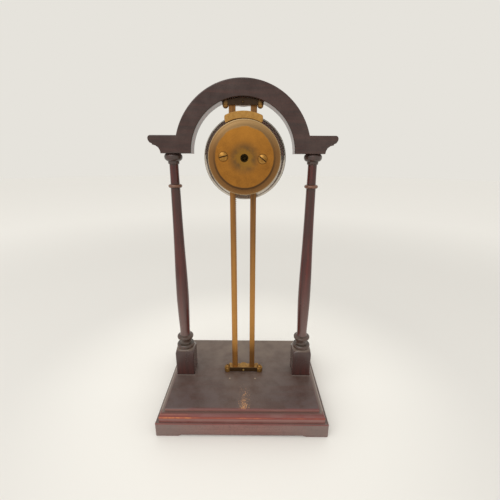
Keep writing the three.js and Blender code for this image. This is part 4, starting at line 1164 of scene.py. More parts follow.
class RackClockPlinth(bpy.types.Operator):
    """Builds the plinth on its four shallow corner feet."""

    bl_idname = "rack_clock.plinth"
    bl_label = "Plinth"

    def execute(self, context):
        edge = context.scene.rack_clock_sizes.wood_edge / MM
        colours = context.scene.rack_clock_colours
        rings = []
        for depth, rise, wear_and_sheen, dirt_and_shade in PLINTH_FOOT:
            outline = board_outline(PLINTH_HIGH, depth, PLINTH_CORNER, PLINTH_STEPS)
            rings.append(([upright(point, self.underside(point) + rise) for point in outline], wear_and_sheen, dirt_and_shade))
        for depth, drop, rubbed in rounded(edge, 4):
            outline = board_outline(PLINTH_HIGH, depth, PLINTH_CORNER, PLINTH_STEPS)
            rings.append(([upright(point, PLINTH_HIGH.z - drop) for point in outline], 0.55 * rubbed, 0.0))
        for depth, dirt_and_shade in PLINTH_TOP:
            outline = board_outline(BOARD_HIGH, depth, PLINTH_CORNER, PLINTH_STEPS)
            rings.append(([upright(point, PLINTH_HIGH.z) for point in outline], 0.0, dirt_and_shade))
        wood = shared_finish(
            "base_mahogany", polished_mahogany, 0, colours.mahogany_base, "70453f", colours, 0.25, 0.3,
            greyer_ends,
        )
        form = Form().loft(rings).age(near_side, darker_end_ledges)
        settle(shape("plinth", form), wood, "stand", "mahogany", "base_plinth")
        return {"FINISHED"}

    def underside(self, point):
        """How far the plinth's underside is raised, which is nothing at the feet."""
        foot = 1.0
        for reach, half in ((abs(point.x), PLINTH_HIGH.x), (abs(point.y), PLINTH_HIGH.y)):
            foot *= steady((reach - half + FOOT_SIDE + FOOT_EASE[0]) / FOOT_EASE[1])
        return APRON_RISE * (1 - foot)


class RackClockTopBoard(bpy.types.Operator):
    """Builds the top board with its moulded edge."""

    bl_idname = "rack_clock.top_board"
    bl_label = "Top board"

    def execute(self, context):
        edge = context.scene.rack_clock_sizes.wood_edge / MM
        colours = context.scene.rack_clock_colours
        top = BOARD_HIGH.z
        levels = list(BOARD_FACE)
        # Each step of the round moulding gets red wear higher up and a painted sheen near its foot, and dirt
        # with painted shade towards its top, by the groove.
        for step in range(13):
            degrees = 90 * step / 12
            angle = math.radians(degrees)
            depth = MOULDING_ROUND.x * (1 - math.cos(angle))
            wear_and_sheen = 0.0
            for peak, spread, most in MOULDING_WEAR_AND_SHEEN:
                wear_and_sheen += most * math.exp(-((degrees - peak) / spread) ** 2)
            level = FILLET + MOULDING_ROUND.y * math.sin(angle)
            levels.append((depth, level, wear_and_sheen, 0.45 * math.sin(angle) ** 4))
        levels += BOARD_STEP
        for depth, drop, rubbed in rounded(edge, 4):
            levels.append((GROOVE + depth, top - drop, 0.15 + 0.2 * rubbed, 0.0))
        levels += [(GROOVE + edge + 0.5, top, 0.1, 0.0), (GROOVE + edge + 1.5, top, 0.0, 0.0)]
        rings = []
        for depth, level, wear_and_sheen, dirt_and_shade in levels:
            outline = board_outline(BOARD_HIGH, depth, BOARD_CORNER, 60)
            rings.append(([upright(point, level) for point in outline], wear_and_sheen, dirt_and_shade))
        wood = shared_finish(
            "board_mahogany", polished_mahogany, 0, colours.mahogany_board, colours.mahogany_red, colours,
            0.3, 0.34, board_marks,
        )
        form = Form().loft(rings).age(near_side)
        settle(shape("top_board", form), wood, "stand", "mahogany", "base_top_board")
        return {"FINISHED"}


class RackClockColumns(bpy.types.Operator):
    """Builds the two turned columns on their square blocks."""

    bl_idname = "rack_clock.columns"
    bl_label = "Columns"

    def execute(self, context):
        edge = context.scene.rack_clock_sizes.wood_edge / MM
        colours = context.scene.rack_clock_colours
        wood = shared_finish(
            "column_mahogany", polished_mahogany, 2, colours.mahogany_column, "66241e", colours, 0.06, 0.16,
            column_dust_and_painted_light,
        )
        profile = []
        for points, wear_and_sheen, patina, dirt_and_shade in TURNINGS:
            run = smooth_run(points, 6)
            for place, (radius, level) in enumerate(run):
                off = abs(2 * place / (len(run) - 1) - 1)
                profile.append((radius, level, wear_and_sheen * (1 - off ** 2), patina + (dirt_and_shade - patina) * off ** 6))
        for side, axis in COLUMN_AXES.items():
            form = Form()
            form.loft(self.block_rings(axis, edge))
            form.loft(turned_rings(profile, 64, Vector((axis, 0.0, 0.0)), "Z"))
            settle(shape("turned_column_" + side, form), wood, "stand", "mahogany", "column_" + side)
        return {"FINISHED"}

    def block_rings(self, axis, edge):
        """Rings of a column's square block, whose top corners the lathe has turned down to a shoulder."""
        rings = []
        for depth, rise, dirt_and_shade in BLOCK_SIDES:
            outline = rectangle(BLOCK_HALF - depth, BLOCK_HALF - depth, edge, 12)
            points = [Vector((axis + point.x, point.y, BLOCK_FOOT + rise)) for point in outline]
            rings.append((points, 0.0, dirt_and_shade))
        for depth, below in BLOCK_SHOULDER:
            points = []
            for point in rectangle(BLOCK_HALF - depth, BLOCK_HALF - depth, edge, 12):
                drop = SHOULDER_SLOPE * max(0.0, point.length - SHOULDER_RADIUS)
                points.append(Vector((axis + point.x, point.y, BLOCK_TOP - drop - below)))
            rings.append((points, 0.0, 0.0))
        return rings


class RackClockArch(bpy.types.Operator):
    """Builds the arch with its moulded ledges."""

    bl_idname = "rack_clock.arch"
    bl_label = "Arch"

    def execute(self, context):
        edge = context.scene.rack_clock_sizes.wood_edge / MM
        colours = context.scene.rack_clock_colours
        ends = [Vector((LEDGE_HALF - back, LEDGE_TOP - down)) for back, down in LEDGE_END]
        join = math.degrees(math.asin((LEDGE_TOP - ARCH_OUTER_MIDDLE) / ARCH_OUTER))
        outline = ends + arc_points((0.0, ARCH_OUTER_MIDDLE), ARCH_OUTER, join, 180 - join, 96)
        outline += mirrored(ends)
        outline += arc_points((0.0, SPRING_HEIGHT), ARCH_INNER, 180, 0, 120)
        rings = plate_rings(outline, ARCH_LOW.y, ARCH_HIGH.y, edge, facing)
        levels = [ARCH_LOW.y + depth for depth in SOFFIT_PAINTED_LIGHT]
        levels += [ARCH_HIGH.y - depth for depth in reversed(SOFFIT_PAINTED_LIGHT)]
        half = len(rings) // 2
        rings[half:half] = [([facing(point, level) for point in outline], 0.0, 0.0) for level in levels]
        wood = shared_finish(
            "arch_mahogany", polished_mahogany, 0, colours.mahogany, colours.mahogany_red, colours, 0.2, 0.13,
        )
        form = Form().loft(rings).age(self.soffit_painted_light)
        settle(shape("arch_frame", form), wood, "stand", "mahogany", "arch")
        return {"FINISHED"}

    def soffit_painted_light(self, point, value):
        """Painted light on the soffit: a redder, lighter tone that stands in for the light thrown up into it.
        """
        far = math.hypot(point.x, point.z - SPRING_HEIGHT)
        deep = min(point.y - ARCH_LOW.y, ARCH_HIGH.y - point.y)
        inside = steady((ARCH_INNER + 0.4 - far) / 0.3)
        return max(value, 0.45 * inside * steady((deep - SOFFIT_PAINTED_LIGHT[0]) / 1.5))


class RackClockBrackets(bpy.types.Operator):
    """Builds the two lobed brackets that hold the bars, with their pins."""

    bl_idname = "rack_clock.brackets"
    bl_label = "Brackets"

    def execute(self, context):
        edge = context.scene.rack_clock_sizes.brass_edge / MM
        colours = context.scene.rack_clock_colours
        brass = shared_finish("bracket_brass", aged_brass, "a87e42", "7d5a2c", 0.3, None, 0.7)
        bright = shared_finish("pin_brass", aged_brass, "d8c386", colours.brass, 0.2)
        # The upper pin's darker brass is painted shade under the arch.
        dull = shared_finish("dull_pin_brass", aged_brass, "6e5634", "54402a", 0.4)
        rings = plate_rings(self.outline(*BOTTOM_LOBES), BOTTOM_LOW.z, BOTTOM_HIGH.z, edge, upright)
        low = shape("lower_bracket", Form().loft(rings))
        # The lower bracket's near face gets a painted dark reflection of the board in front of it.
        paint_shade(low, self.painted_dark_face(BOTTOM_LOBES[1], 0.85))
        settle(low, brass, "stand", "brass", "bottom_bracket")
        # The upper bracket is made too high and then cut to the arch's soffit.
        rings = plate_rings(self.outline(*TOP_LOBES), TOP_LOW.z, TOP_HIGH.z + 2, edge, upright)
        high = shape("upper_bracket", Form().loft(rings))
        soffit = plain(((SOFFIT_RADIUS, -12.0), (SOFFIT_RADIUS, 12.0)))
        spring = Vector((0.0, 0.0, SPRING_HEIGHT))
        carve(high, Form().loft(turned_rings(soffit, 160, spring, "Y")), "INTERSECT")
        # The upper bracket gets painted shade from the arch above it.
        paint_shade(high, self.painted_upper_shade(TOP_LOBES[1]))
        settle(high, brass, "stand", "brass", "top_bracket")
        pins = (("lower_pin", "bottom_bracket_pin", bright), ("upper_pin", "top_bracket_pin", dull))
        for name, node, finish in pins:
            low_corner, high_corner = node_box(node)
            radius = (high_corner.x - low_corner.x) / 2
            profile = [(radius, low_corner.y)]
            profile += [(radius * share, high_corner.y - back) for share, back in PIN_END]
            middle = (low_corner + high_corner) / 2
            pin = Form().loft(turned_rings(plain(smooth_run(profile, 3)), 24, middle, "Y"))
            settle(shape(name, pin), finish, "stand", "steel", node)
        return {"FINISHED"}

    def painted_dark_face(self, ear_lobe, most):
        """A function that gives a bracket's near face, between its ears, a brown painted shade and dark
        reflection.
        """
        near = BRACKET_FACES[1]
        ear_x, ear_y, ear = ear_lobe
        limit = ear_x - math.sqrt(ear ** 2 - (near - ear_y) ** 2) + 0.6
        return lambda point: (
            most * steady((point.y - near + 0.45) / 0.3) * steady((limit - abs(point.x)) / 0.5)
        )

    def painted_upper_shade(self, ear_lobe):
        """A function that gives the upper bracket's painted shade: near face, outer half of its ears, its top
        by the soffit, and a little all over.
        """
        face = self.painted_dark_face(ear_lobe, 0.95)
        outer = ear_lobe[0] + 0.9
        return lambda point: max(
            face(point),
            0.25 + 0.65 * steady((abs(point.x) - outer) / 0.6),
            0.85 * steady((point.z - TOP_LOW.z - 0.5) / 1.5),
        )

    def outline(self, half, ear_lobe, shoulder_lobe):
        """A bracket's outline in plan, counter-clockwise: right half from the far face, then its mirror."""
        far, near = BRACKET_FACES
        ear_x, ear_y, ear = ear_lobe
        shoulder_x, shoulder_y, shoulder = shoulder_lobe
        bulge_x, bulge_y, bulge = BRACKET_BULGE
        leave = math.degrees(math.asin((far - bulge_y) / bulge))
        points = arc_points((bulge_x, bulge_y), bulge, -88, leave, 10)
        meet = 180 + math.degrees(math.asin((shoulder_y - far) / shoulder))
        leave = math.degrees(math.acos((half - shoulder_x) / shoulder))
        points += arc_points((shoulder_x, shoulder_y), shoulder, meet, 360 + leave, 14)
        meet = -math.degrees(math.acos((half - ear_x) / ear))
        leave = 180 - math.degrees(math.asin((near - ear_y) / ear))
        points += arc_points((ear_x, ear_y), ear, meet, leave, 24)
        points.append(Vector((4.0, near)))
        return points + mirrored(points)


class RackClockScrews(bpy.types.Operator):
    """Grows the slotted screw heads of the brackets and of the back cover with geometry nodes."""

    bl_idname = "rack_clock.screws"
    bl_label = "Screws"

    def execute(self, context):
        slot = context.scene.rack_clock_sizes.slot_width
        brass = shared_finish("screw_brass", aged_brass, "b28444", "8a602c", 0.32)
        dull = shared_finish("dull_screw_brass", aged_brass, "a87c40", "7a582c", 0.4, None, 0.7)
        tree = self.head_tree()
        spots = []
        for node, (way, angle) in BRACKET_SCREWS.items():
            low, high = node_box(node)
            level = BOTTOM_HIGH.z if way > 0 else TOP_LOW.z
            turn = (0.0 if way > 0 else math.pi, 0.0, math.radians(angle))
            spots.append((Vector(((low.x + high.x) / 2, (low.y + high.y) / 2, level)), turn))
        heads = self.spread("bracket_screw_heads", tree, spots, BRACKET_HEAD, slot * 0.7, dull)
        settle(heads, dull, "stand", "brass", *BRACKET_SCREWS)
        spots = []
        for node, angle in COVER_SCREWS.items():
            low, high = node_box(node)
            turn = (-math.pi / 2, math.radians(angle), 0.0)
            spots.append((Vector(((low.x + high.x) / 2, COVER_HIGH.y + 0.03, (low.z + high.z) / 2)), turn))
        sizes = {**COVER_HEAD, "Head Height": high.y - COVER_HIGH.y - 0.05}
        heads = self.spread("cover_screw_heads", tree, spots, sizes, slot, brass)
        settle(heads, brass, "drum", "brass", *COVER_SCREWS)
        return {"FINISHED"}

    def spread(self, name, tree, spots, sizes, slot, brass):
        """One mesh with a head at each spot, turned as the spot says."""
        source = bpy.data.meshes.new(name)
        source.from_pydata([place * MM for place, turn in spots], [], [])
        turns = [angle for place, turn in spots for angle in turn]
        source.attributes.new("turn", "FLOAT_VECTOR", "POINT").data.foreach_set("vector", turns)
        values = {key: value * MM for key, value in sizes.items()}
        return grown(name, tree, {**values, "Slot Width": slot, "Metal": brass}, source)

    def head_tree(self):
        """A node tree that puts a domed, slotted head on each point."""
        sizes = ("Head Radius", "Head Height", "Crown Radius", "Slot Width", "Slot Depth")
        kinds = {"Points": "Geometry", **dict.fromkeys(sizes, "Float"), "Metal": "Material"}
        tree, given = grower("slotted_heads", kinds)
        height = given["Head Height"]
        body = add(
            tree, "GeometryNodeMeshCylinder",
            {"Vertices": 40, "Radius": given["Head Radius"], "Depth": height},
        )
        half = add(tree, "ShaderNodeMath", {0: height, 1: 0.5}, operation="MULTIPLY")
        crown = add(
            tree, "GeometryNodeMeshUVSphere", {"Segments": 40, "Rings": 28, "Radius": given["Crown Radius"]},
        )
        sunk = add(tree, "ShaderNodeMath", {0: height, 1: given["Crown Radius"]}, operation="SUBTRACT")
        long = add(tree, "ShaderNodeMath", {0: given["Head Radius"], 1: 2.4}, operation="MULTIPLY")
        deep = add(tree, "ShaderNodeMath", {0: given["Slot Depth"], 1: 2.0}, operation="MULTIPLY")
        size = add(tree, "ShaderNodeCombineXYZ", {"X": long, "Y": given["Slot Width"], "Z": deep})
        groove = add(tree, "GeometryNodeMeshCube", {"Size": size})
        # The slot's faces carry painted shade.
        groove = add(
            tree, "GeometryNodeStoreNamedAttribute", {"Geometry": groove, "Name": "dirt_and_shade", "Value": 0.95},
            data_type="FLOAT", domain="FACE",
        )
        lifted = []
        for part, rise in ((body, half), (crown, sunk), (groove, height)):
            way = add(tree, "ShaderNodeCombineXYZ", {"Z": rise})
            lifted.append(add(tree, "GeometryNodeTransform", {"Geometry": part, "Translation": way}))
        body, crown, groove = lifted
        dome = add(tree, "GeometryNodeMeshBoolean", {1: body}, operation="INTERSECT", solver="EXACT")
        feed(tree, dome, {1: crown})
        head = add(
            tree, "GeometryNodeMeshBoolean", {0: dome, 1: groove}, operation="DIFFERENCE", solver="EXACT",
        )
        turn = add(tree, "GeometryNodeInputNamedAttribute", {"Name": "turn"}, data_type="FLOAT_VECTOR")
        heads = add(
            tree, "GeometryNodeInstanceOnPoints",
            {"Points": given["Points"], "Instance": head, "Rotation": turn},
        )
        return finish_growth(tree, heads, given["Metal"])


class RackClockBars(bpy.types.Operator):
    """Grows the toothed rack bar with geometry nodes and builds the plain guide bar."""

    bl_idname = "rack_clock.bars"
    bl_label = "Bars"

    def execute(self, context):
        edge = context.scene.rack_clock_sizes.brass_edge / MM
        brass = shared_finish("drawn_brass", aged_brass, "99682f", "7b5224", 0.36, 2, 0.5)
        dull = shared_finish("dull_drawn_brass", aged_brass, "895c29", "694824", 0.4, 2, 0.5)
        size = RACK_HIGH - RACK_LOW
        sizes = {
            "Foot": RACK_LOW.z, "Length": size.z, "Width": size.x, "Thickness": size.y, "Edge": edge,
            "Pitch": RACK_PITCH, "Depth": RACK_DEPTH, "Root": RACK_ROOT, "Teeth From": RACK_RUN[0],
            "Teeth To": RACK_RUN[1], "Middle": (RACK_LOW.x + RACK_HIGH.x) / 2,
        }
        tree = self.rack_tree(sizes)
        values = {key: value * MM for key, value in sizes.items()}
        values["Rows"] = int(size.z / RACK_PITCH * ROWS_PER_TOOTH) + 1
        bar = grown("toothed_bar", tree, {**values, "Brass": brass})
        settle(bar, brass, "stand", "brass", "rack_bar", sharp_angle=30)
        half = (GUIDE_HIGH - GUIDE_LOW) / 2
        middle = (GUIDE_LOW.x + GUIDE_HIGH.x) / 2
        outline = [Vector((middle + point.x, point.y)) for point in rectangle(half.x, half.y, edge, 2, 3)]
        form = Form().loft(plate_rings(outline, GUIDE_LOW.z, GUIDE_HIGH.z, edge / 2, upright))
        settle(shape("plain_bar", form), dull, "stand", "brass", "guide_bar")
        return {"FINISHED"}

    def rack_tree(self, sizes):
        """A node tree that sweeps a bar and presses V notches into its inner edge at a fixed pitch."""
        kinds = {**dict.fromkeys(sizes, "Float"), "Rows": "Int", "Brass": "Material"}
        tree, given = grower("toothed_bar", kinds)
        top = add(tree, "ShaderNodeMath", {0: given["Foot"], 1: given["Length"]}, operation="ADD")
        start = add(tree, "ShaderNodeCombineXYZ", {"X": given["Middle"], "Z": given["Foot"]})
        end = add(tree, "ShaderNodeCombineXYZ", {"X": given["Middle"], "Z": top})
        line = add(tree, "GeometryNodeCurvePrimitiveLine", {"Start": start, "End": end})
        line = add(tree, "GeometryNodeResampleCurve", {"Curve": line, "Count": given["Rows"]})
        section = add(
            tree, "GeometryNodeCurvePrimitiveQuadrilateral",
            {"Width": given["Width"], "Height": given["Thickness"]},
        )
        section = add(
            tree, "GeometryNodeFilletCurve",
            {"Curve": section, "Count": 2, "Radius": given["Edge"]}, mode="POLY",
        )
        bar = add(
            tree, "GeometryNodeCurveToMesh", {"Curve": line, "Profile Curve": section, "Fill Caps": True},
        )
        place = add(tree, "GeometryNodeInputPosition")
        apart = add(tree, "ShaderNodeSeparateXYZ", {0: place}).outputs
        above = add(tree, "ShaderNodeMath", {0: apart["Z"], 1: given["Root"]}, operation="SUBTRACT")
        turns = add(tree, "ShaderNodeMath", {0: above, 1: given["Pitch"]}, operation="DIVIDE")
        off = add(tree, "ShaderNodeMath", {0: turns, 1: 0.5}, operation="PINGPONG")
        notch = add(
            tree, "ShaderNodeMapRange",
            {"Value": off, "From Min": 0.0, "From Max": RACK_NOTCH, "To Min": given["Depth"], "To Max": 0.0},
        )
        over = add(
            tree, "FunctionNodeCompare", {0: apart["Z"], 1: given["Teeth From"]}, operation="GREATER_THAN",
        )
        under = add(tree, "FunctionNodeCompare", {0: apart["Z"], 1: given["Teeth To"]}, operation="LESS_THAN")
        inner = add(tree, "FunctionNodeCompare", {0: apart["X"], 1: given["Middle"]}, operation="LESS_THAN")
        toothed = over
        for other in (under, inner):
            toothed = add(tree, "FunctionNodeBooleanMath", {0: toothed, 1: other}, operation="AND")
        push = add(tree, "ShaderNodeCombineXYZ", {"X": notch})
        bar = add(tree, "GeometryNodeSetPosition", {"Geometry": bar, "Selection": toothed, "Offset": push})
        return finish_growth(tree, bar, given["Brass"])


class RackClockCase(bpy.types.Operator):
    """Builds the nickel-plated drum case and front bezel, and the glass."""

    bl_idname = "rack_clock.case"
    bl_label = "Case and bezel"

    def execute(self, context):
        colours = context.scene.rack_clock_colours
        nickel = shared_finish(
            "polished_nickel_plate", polished_metal, colours.nickel, "b5aa9d", 0.08, 6.0, 0.8,
        )
        form = spun([CASE_LIP, *smooth_run(CASE_SLOPE, 5), *CASE_INSIDE], 128)
        settle(shape("nickel_case", form), nickel, "drum", "nickel", "drum_case")
        form = spun([*BEZEL_BACK, *smooth_run(BEZEL_FACE, 4), *BEZEL_SEAT], 128)
        settle(shape("nickel_bezel", form), nickel, "drum", "nickel", "front_bezel")
        dome = smooth_run(GLASS_DOME, 8)
        under = [(radius, level + GLASS_THICKNESS) for radius, level in reversed(dome)]
        glass = shared_finish("domed_watch_glass", watch_glass)
        form = spun([*dome, *under], 96, around=False)
        settle(shape("domed_glass", form), glass, "drum", "glass", "bezel_glass")
        return {"FINISHED"}


class RackClockDial(bpy.types.Operator):
    """Builds the enamelled dial with its hour numerals, and grows its minute track with geometry nodes."""

    bl_idname = "rack_clock.dial"
    bl_label = "Dial"

    def execute(self, context):
        sizes = context.scene.rack_clock_sizes
        enamel = shared_finish("cream_enamel", cream_enamel, context.scene.rack_clock_colours)
        ink = shared_finish("black_dial_ink", dial_ink)
        settle(shape("enamel_dial", spun(DIAL_PLATE, 96)), enamel, "drum", "dial_enamel", "dial")
        values = {key: value * MM for key, value in TRACK.items()}
        values["Radius"] = sizes.track_radius
        values["Centre"] = Vector((DRUM_AXIS.x, DIAL_LOW.y, DRUM_AXIS.z)) * MM
        track = grown("minute_track", self.track_tree(), {**values, "Ink": ink})
        settle(track, ink, "drum", "blued_steel")
        form = Form()
        for hour, word in enumerate(NUMERALS):
            self.numeral(form, word, 30 * hour, sizes.numeral_radius / MM, sizes.numeral_height / MM)
        settle(shape("hour_numerals", form), ink, "drum", "blued_steel")
        return {"FINISHED"}

    def numeral(self, form, word, angle, radius, height):
        """Adds the strokes of one Roman numeral, its foot towards the dial's middle."""
        thick = height * 0.17
        thin = height * 0.05
        top = height / 2
        widths = {"I": height * 0.28, "V": height * 0.62, "X": height * 0.62}
        start = -sum(widths[letter] for letter in word) / 2
        for letter in word:
            middle = start + widths[letter] / 2
            reach = widths[letter] / 2 - thick * 0.7
            left = middle - reach
            right = middle + reach
            if letter == "I":
                strokes = [((middle, -top), (middle, top), thick)]
                serifs = ((middle, -top), (middle, top))
            elif letter == "V":
                strokes = [
                    ((left, top), (middle + thick * 0.1, -top), thick),
                    ((right, top), (middle + thick * 0.3, -top), thin),
                ]
                serifs = ((left, top), (right, top))
            else:
                strokes = [((left, top), (right, -top), thick), ((right, top), (left, -top), thin)]
                serifs = ((left, top), (right, top), (left, -top), (right, -top))
            for across, up in serifs:
                strokes.append(((across - thick * 0.85, up), (across + thick * 0.85, up), thin * 1.2))
            for first, last, width in strokes:
                self.stroke(form, Vector(first), Vector(last), width, angle, radius)
            start += widths[letter]

    def stroke(self, form, first, last, width, angle, radius):
        """Adds one straight stroke of ink that stands a hair proud of the enamel."""
        flat = abs(last.y - first.y) < 1e-6
        side = Vector((0.0, width / 2)) if flat else Vector((width / 2, 0.0))
        rise = Vector((0.0, radius))
        corners = (first - side, last - side, last + side, first + side)
        placed = on_dial([corner + rise for corner in corners], angle)
        levels = [DIAL_LOW.y + level for level in INK_LEVELS]
        form.loft([([facing(point, level) for point in placed], 0.0, 0.0) for level in levels])

    def track_tree(self):
        """A node tree that sets sixty ticks between two fine rails, with broader ticks at the hours."""
        kinds = {"Radius": "Float", **dict.fromkeys(TRACK, "Float"), "Centre": "Vector", "Ink": "Material"}
        tree, given = grower("minute_track", kinds)
        spots = add(tree, "GeometryNodeMeshCircle", {"Vertices": 60, "Radius": given["Radius"]})
        size = add(
            tree, "ShaderNodeCombineXYZ",
            {"X": given["Tick Length"], "Y": given["Tick Width"], "Z": given["Thickness"]},
        )
        tick = add(tree, "GeometryNodeMeshCube", {"Size": size})
        place = add(tree, "GeometryNodeInputPosition")
        outwards = add(tree, "FunctionNodeAlignRotationToVector", {"Vector": place}, axis="X")
        count = add(tree, "GeometryNodeInputIndex")
        fifth = add(tree, "ShaderNodeMath", {0: count, 1: 5.0}, operation="MODULO")
        hour = add(tree, "ShaderNodeMath", {0: fifth, 1: 0.5}, operation="LESS_THAN")
        broad = add(
            tree, "ShaderNodeMath", {0: given["Hour Width"], 1: given["Tick Width"]}, operation="DIVIDE",
        )
        width = add(tree, "ShaderNodeMapRange", {"Value": hour, "To Min": 1.0, "To Max": broad})
        scale = add(tree, "ShaderNodeCombineXYZ", {"X": 1.0, "Y": width, "Z": 1.0})
        ticks = add(
            tree, "GeometryNodeInstanceOnPoints",
            {"Points": spots, "Instance": tick, "Rotation": outwards, "Scale": scale},
        )
        whole = add(tree, "GeometryNodeJoinGeometry", {0: ticks})
        half = add(tree, "ShaderNodeMath", {0: given["Tick Length"], 1: 0.5}, operation="MULTIPLY")
        section = add(
            tree, "GeometryNodeCurvePrimitiveQuadrilateral",
            {"Width": given["Rail Width"], "Height": given["Thickness"]},
        )
        for way in ("ADD", "SUBTRACT"):
            reach = add(tree, "ShaderNodeMath", {0: given["Radius"], 1: half}, operation=way)
            circle = add(tree, "GeometryNodeCurvePrimitiveCircle", {"Resolution": 180, "Radius": reach})
            rail = add(tree, "GeometryNodeCurveToMesh", {"Curve": circle, "Profile Curve": section})
            feed(tree, whole, {0: rail})
        track = add(
            tree, "GeometryNodeTransform",
            {"Geometry": whole, "Translation": given["Centre"], "Rotation": (math.pi / 2, 0.0, 0.0)},
        )
        return finish_growth(tree, track, given["Ink"])


class RackClockHands(bpy.types.Operator):
    """Builds the blued hands, set at ten past ten."""

    bl_idname = "rack_clock.hands"
    bl_label = "Hands"

    def execute(self, context):
        blue = blued_steel(context.scene.rack_clock_colours)
        for name, node, body, half, boss, turn in HANDS:
            low, high = node_box(node)
            placed = on_dial(self.outline(half, boss), turn)
            form = Form().loft(plate_rings(placed, low.y, high.y, HAND_EDGE, facing, steps=2))
            settle(shape(name, form), blue, body, "blued_steel", node)
        return {"FINISHED"}

    def outline(self, half, boss):
        """A hand that points to twelve: a tapering blade and a round boss."""
        start = math.degrees(math.acos(half[0][0] / boss))
        blade = [Vector(point) for point in smooth_run(half, 5) if point[1] > boss * 0.98]
        return blade + mirrored(blade) + arc_points((0.0, 0.0), boss, 180 - start, 360 + start, 40)


class RackClockCover(bpy.types.Operator):
    """Builds the brass back cover, notched for the bars."""

    bl_idname = "rack_clock.cover"
    bl_label = "Back cover"

    def execute(self, context):
        brass = shared_finish(
            "lacquered_cover_brass", lacquered_cover_brass, context.scene.rack_clock_colours,
        )
        profile = [*COVER_WALL, *smooth_run(COVER_SHOULDER, 4), *COVER_FLAT, *COVER_INSIDE]
        cover = shape("brass_cover", spun(profile, 128).age(self.bright_rim, self.painted_flat_shade))
        cuts = Form()
        for low, high in ((RACK_LOW, RACK_HIGH), (GUIDE_LOW, GUIDE_HIGH)):
            left = low.x - NOTCH_ROOM
            right = high.x + NOTCH_ROOM
            foot = DRUM_AXIS.z - NOTCH_REACH
            top = DRUM_AXIS.z + NOTCH_REACH
            outline = [Vector(corner) for corner in ((left, foot), (right, foot), (right, top), (left, top))]
            cuts.loft([([facing(point, depth) for point in outline], 0.0, 0.0) for depth in NOTCH_DEPTH])
        carve(cover, cuts, "DIFFERENCE")
        settle(cover, brass, "drum", "brass", "back_cover")
        return {"FINISHED"}

    def bright_rim(self, point, value):
        """Rubbed metal and a painted highlight on the cover's outer edge."""
        radius, depth = RIM_WEAR_AND_HIGHLIGHT
        far = math.hypot(point.x - DRUM_AXIS.x, point.z - DRUM_AXIS.z)
        return 0.4 * steady((far - radius) / 0.5) * steady((point.y - depth) / 0.5)

    def painted_flat_shade(self, point, value):
        """Painted shade in the angle round the flat, heaviest low down."""
        inner, outer, depth = FLAT_SHADE_LINE
        up = point.z - DRUM_AXIS.z
        far = math.hypot(point.x - DRUM_AXIS.x, up)
        low = 0.25 + 0.45 * steady(0.4 - up / max(far, 1.0))
        ring = steady((far - inner) / 0.5) * steady((outer - far) / 1.2)
        return low * ring * steady((point.y - depth) / 0.2)


class RackClockBridge(bpy.types.Operator):
    """Builds the crescent bridge that ties the drum to the bars."""

    bl_idname = "rack_clock.bridge"
    bl_label = "Guide bridge"

    def execute(self, context):
        edge = context.scene.rack_clock_sizes.brass_edge / MM
        brass = shared_finish("bridge_brass", aged_brass, "b68a4a", "a67b40", 0.38, None, 0.85)
        middle = Vector((BRIDGE_X, DRUM_AXIS.z))
        inner, outer = BRIDGE_RADII
        end = smooth_run(BRIDGE_END, 3)
        left = [arc_points(middle, radius, 90 + angle, 90 + angle, 1)[0] for radius, angle in end]
        right = [Vector((2 * middle.x - point.x, point.y)) for point in reversed(left)]
        outline = arc_points(middle, outer, 90 - end[0][1], 90 + end[0][1], 40)[1:-1] + left
        outline += arc_points(middle, inner, 90 + end[-1][1], 90 - end[-1][1], 40)[1:-1] + right
        # Its rounded edges carry pale rubbed metal and a painted highlight.
        form = Form().loft(plate_rings(outline, BRIDGE_LOW.y, BRIDGE_HIGH.y, edge / 2, facing, wear_and_sheen=0.2))
        settle(shape("crescent_bridge", form), brass, "drum", "brass", "guide_bridge")
        return {"FINISHED"}


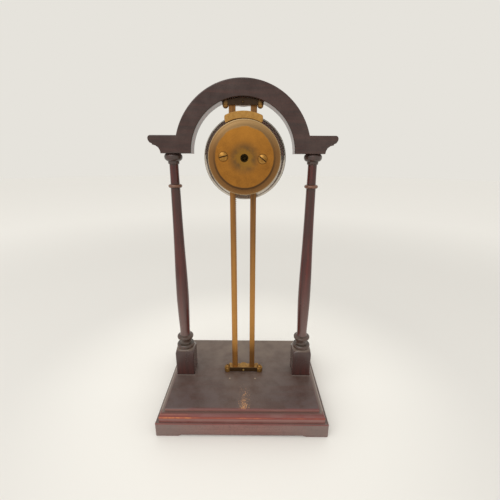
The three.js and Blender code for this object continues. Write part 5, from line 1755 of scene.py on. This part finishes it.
class RackClockMovement(bpy.types.Operator):
    """Gives the nodes that keep their solid shape, inside the drum and the stand, their metals."""

    bl_idname = "rack_clock.movement"
    bl_label = "Movement"

    brass_nodes = (
        "front_plate", "great_wheel", "third_wheel", "fourth_wheel", "minute_wheel", "hour_wheel",
        "balance_wheel", "pillar_1", "pillar_2", "pillar_3", "case_pillar_1", "case_pillar_2",
        "case_pillar_3", "upper_guide_shoe", "lower_guide_shoe", "rack_shoe", "bridge_post_right",
        "bridge_post_left",
    )
    steel_nodes = (
        "main_arbor", "ratchet_wheel", "click", "cannon_pinion", "third_arbor", "fourth_arbor",
        "escape_arbor", "escape_wheel", "pallet_lever", "balance_staff", "column_screw_right",
        "column_screw_left",
    )
    blued_nodes = ("hairspring",)
    # These pieces, seen through the cover's hole, get a darker brass as painted shade inside the drum.
    shade_dark_nodes = ("back_plate", "middle_plate", "centre_wheel", "centre_arbor")

    def execute(self, context):
        colours = context.scene.rack_clock_colours
        brass = shared_finish("movement_brass", aged_brass, colours.brass, colours.brass_tarnish, 0.3)
        shade_dark = shared_finish("oil_dark_brass", aged_brass, "7a6540", "5c4a2e", 0.6)
        steel = shared_finish("satin_steel", polished_metal, colours.steel, "6d6f74", 0.25, 3.0)
        groups = (
            (self.brass_nodes, brass), (self.steel_nodes, steel), (self.blued_nodes, blued_steel(colours)),
            (self.shade_dark_nodes, shade_dark),
        )
        for names, finish in groups:
            for name in names:
                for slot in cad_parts[name].material_slots:
                    slot.material = finish
        return {"FINISHED"}


class RackClockPanel(bpy.types.Panel):
    """Lists the pieces of the clock in the 3D view's sidebar."""

    bl_idname = "RACK_CLOCK_PT_pieces"
    bl_label = "Rack clock"
    bl_space_type = "VIEW_3D"
    bl_region_type = "UI"
    bl_category = "Rack clock"

    def draw(self, context):
        layout = self.layout
        for group in (
            context.scene.rack_clock_sizes, context.scene.rack_clock_colours, context.scene.rack_clock_stage,
        ):
            for key in group.__annotations__:
                layout.prop(group, key)
        for operator in OPERATORS:
            layout.operator(operator.bl_idname)


OPERATORS = (
    RackClockStageOperator,
    RackClockPlinth,
    RackClockTopBoard,
    RackClockColumns,
    RackClockArch,
    RackClockBrackets,
    RackClockScrews,
    RackClockBars,
    RackClockCase,
    RackClockDial,
    RackClockHands,
    RackClockCover,
    RackClockBridge,
    RackClockMovement,
)
CLASSES = (RackClockSizes, RackClockColours, RackClockStage, *OPERATORS, RackClockPanel)


def register():
    """Registers the classes and their settings on the scene."""
    for item in CLASSES:
        bpy.utils.register_class(item)
    bpy.types.Scene.rack_clock_sizes = bpy.props.PointerProperty(type=RackClockSizes)
    bpy.types.Scene.rack_clock_colours = bpy.props.PointerProperty(type=RackClockColours)
    bpy.types.Scene.rack_clock_stage = bpy.props.PointerProperty(type=RackClockStage)


def unregister():
    """Removes the settings and the classes."""
    del bpy.types.Scene.rack_clock_stage
    del bpy.types.Scene.rack_clock_colours
    del bpy.types.Scene.rack_clock_sizes
    for item in reversed(CLASSES):
        bpy.utils.unregister_class(item)


def main():
    register()
    for operator in OPERATORS:
        group, name = operator.bl_idname.split(".")
        getattr(getattr(bpy.ops, group), name)()


if __name__ == "__main__":
    main()
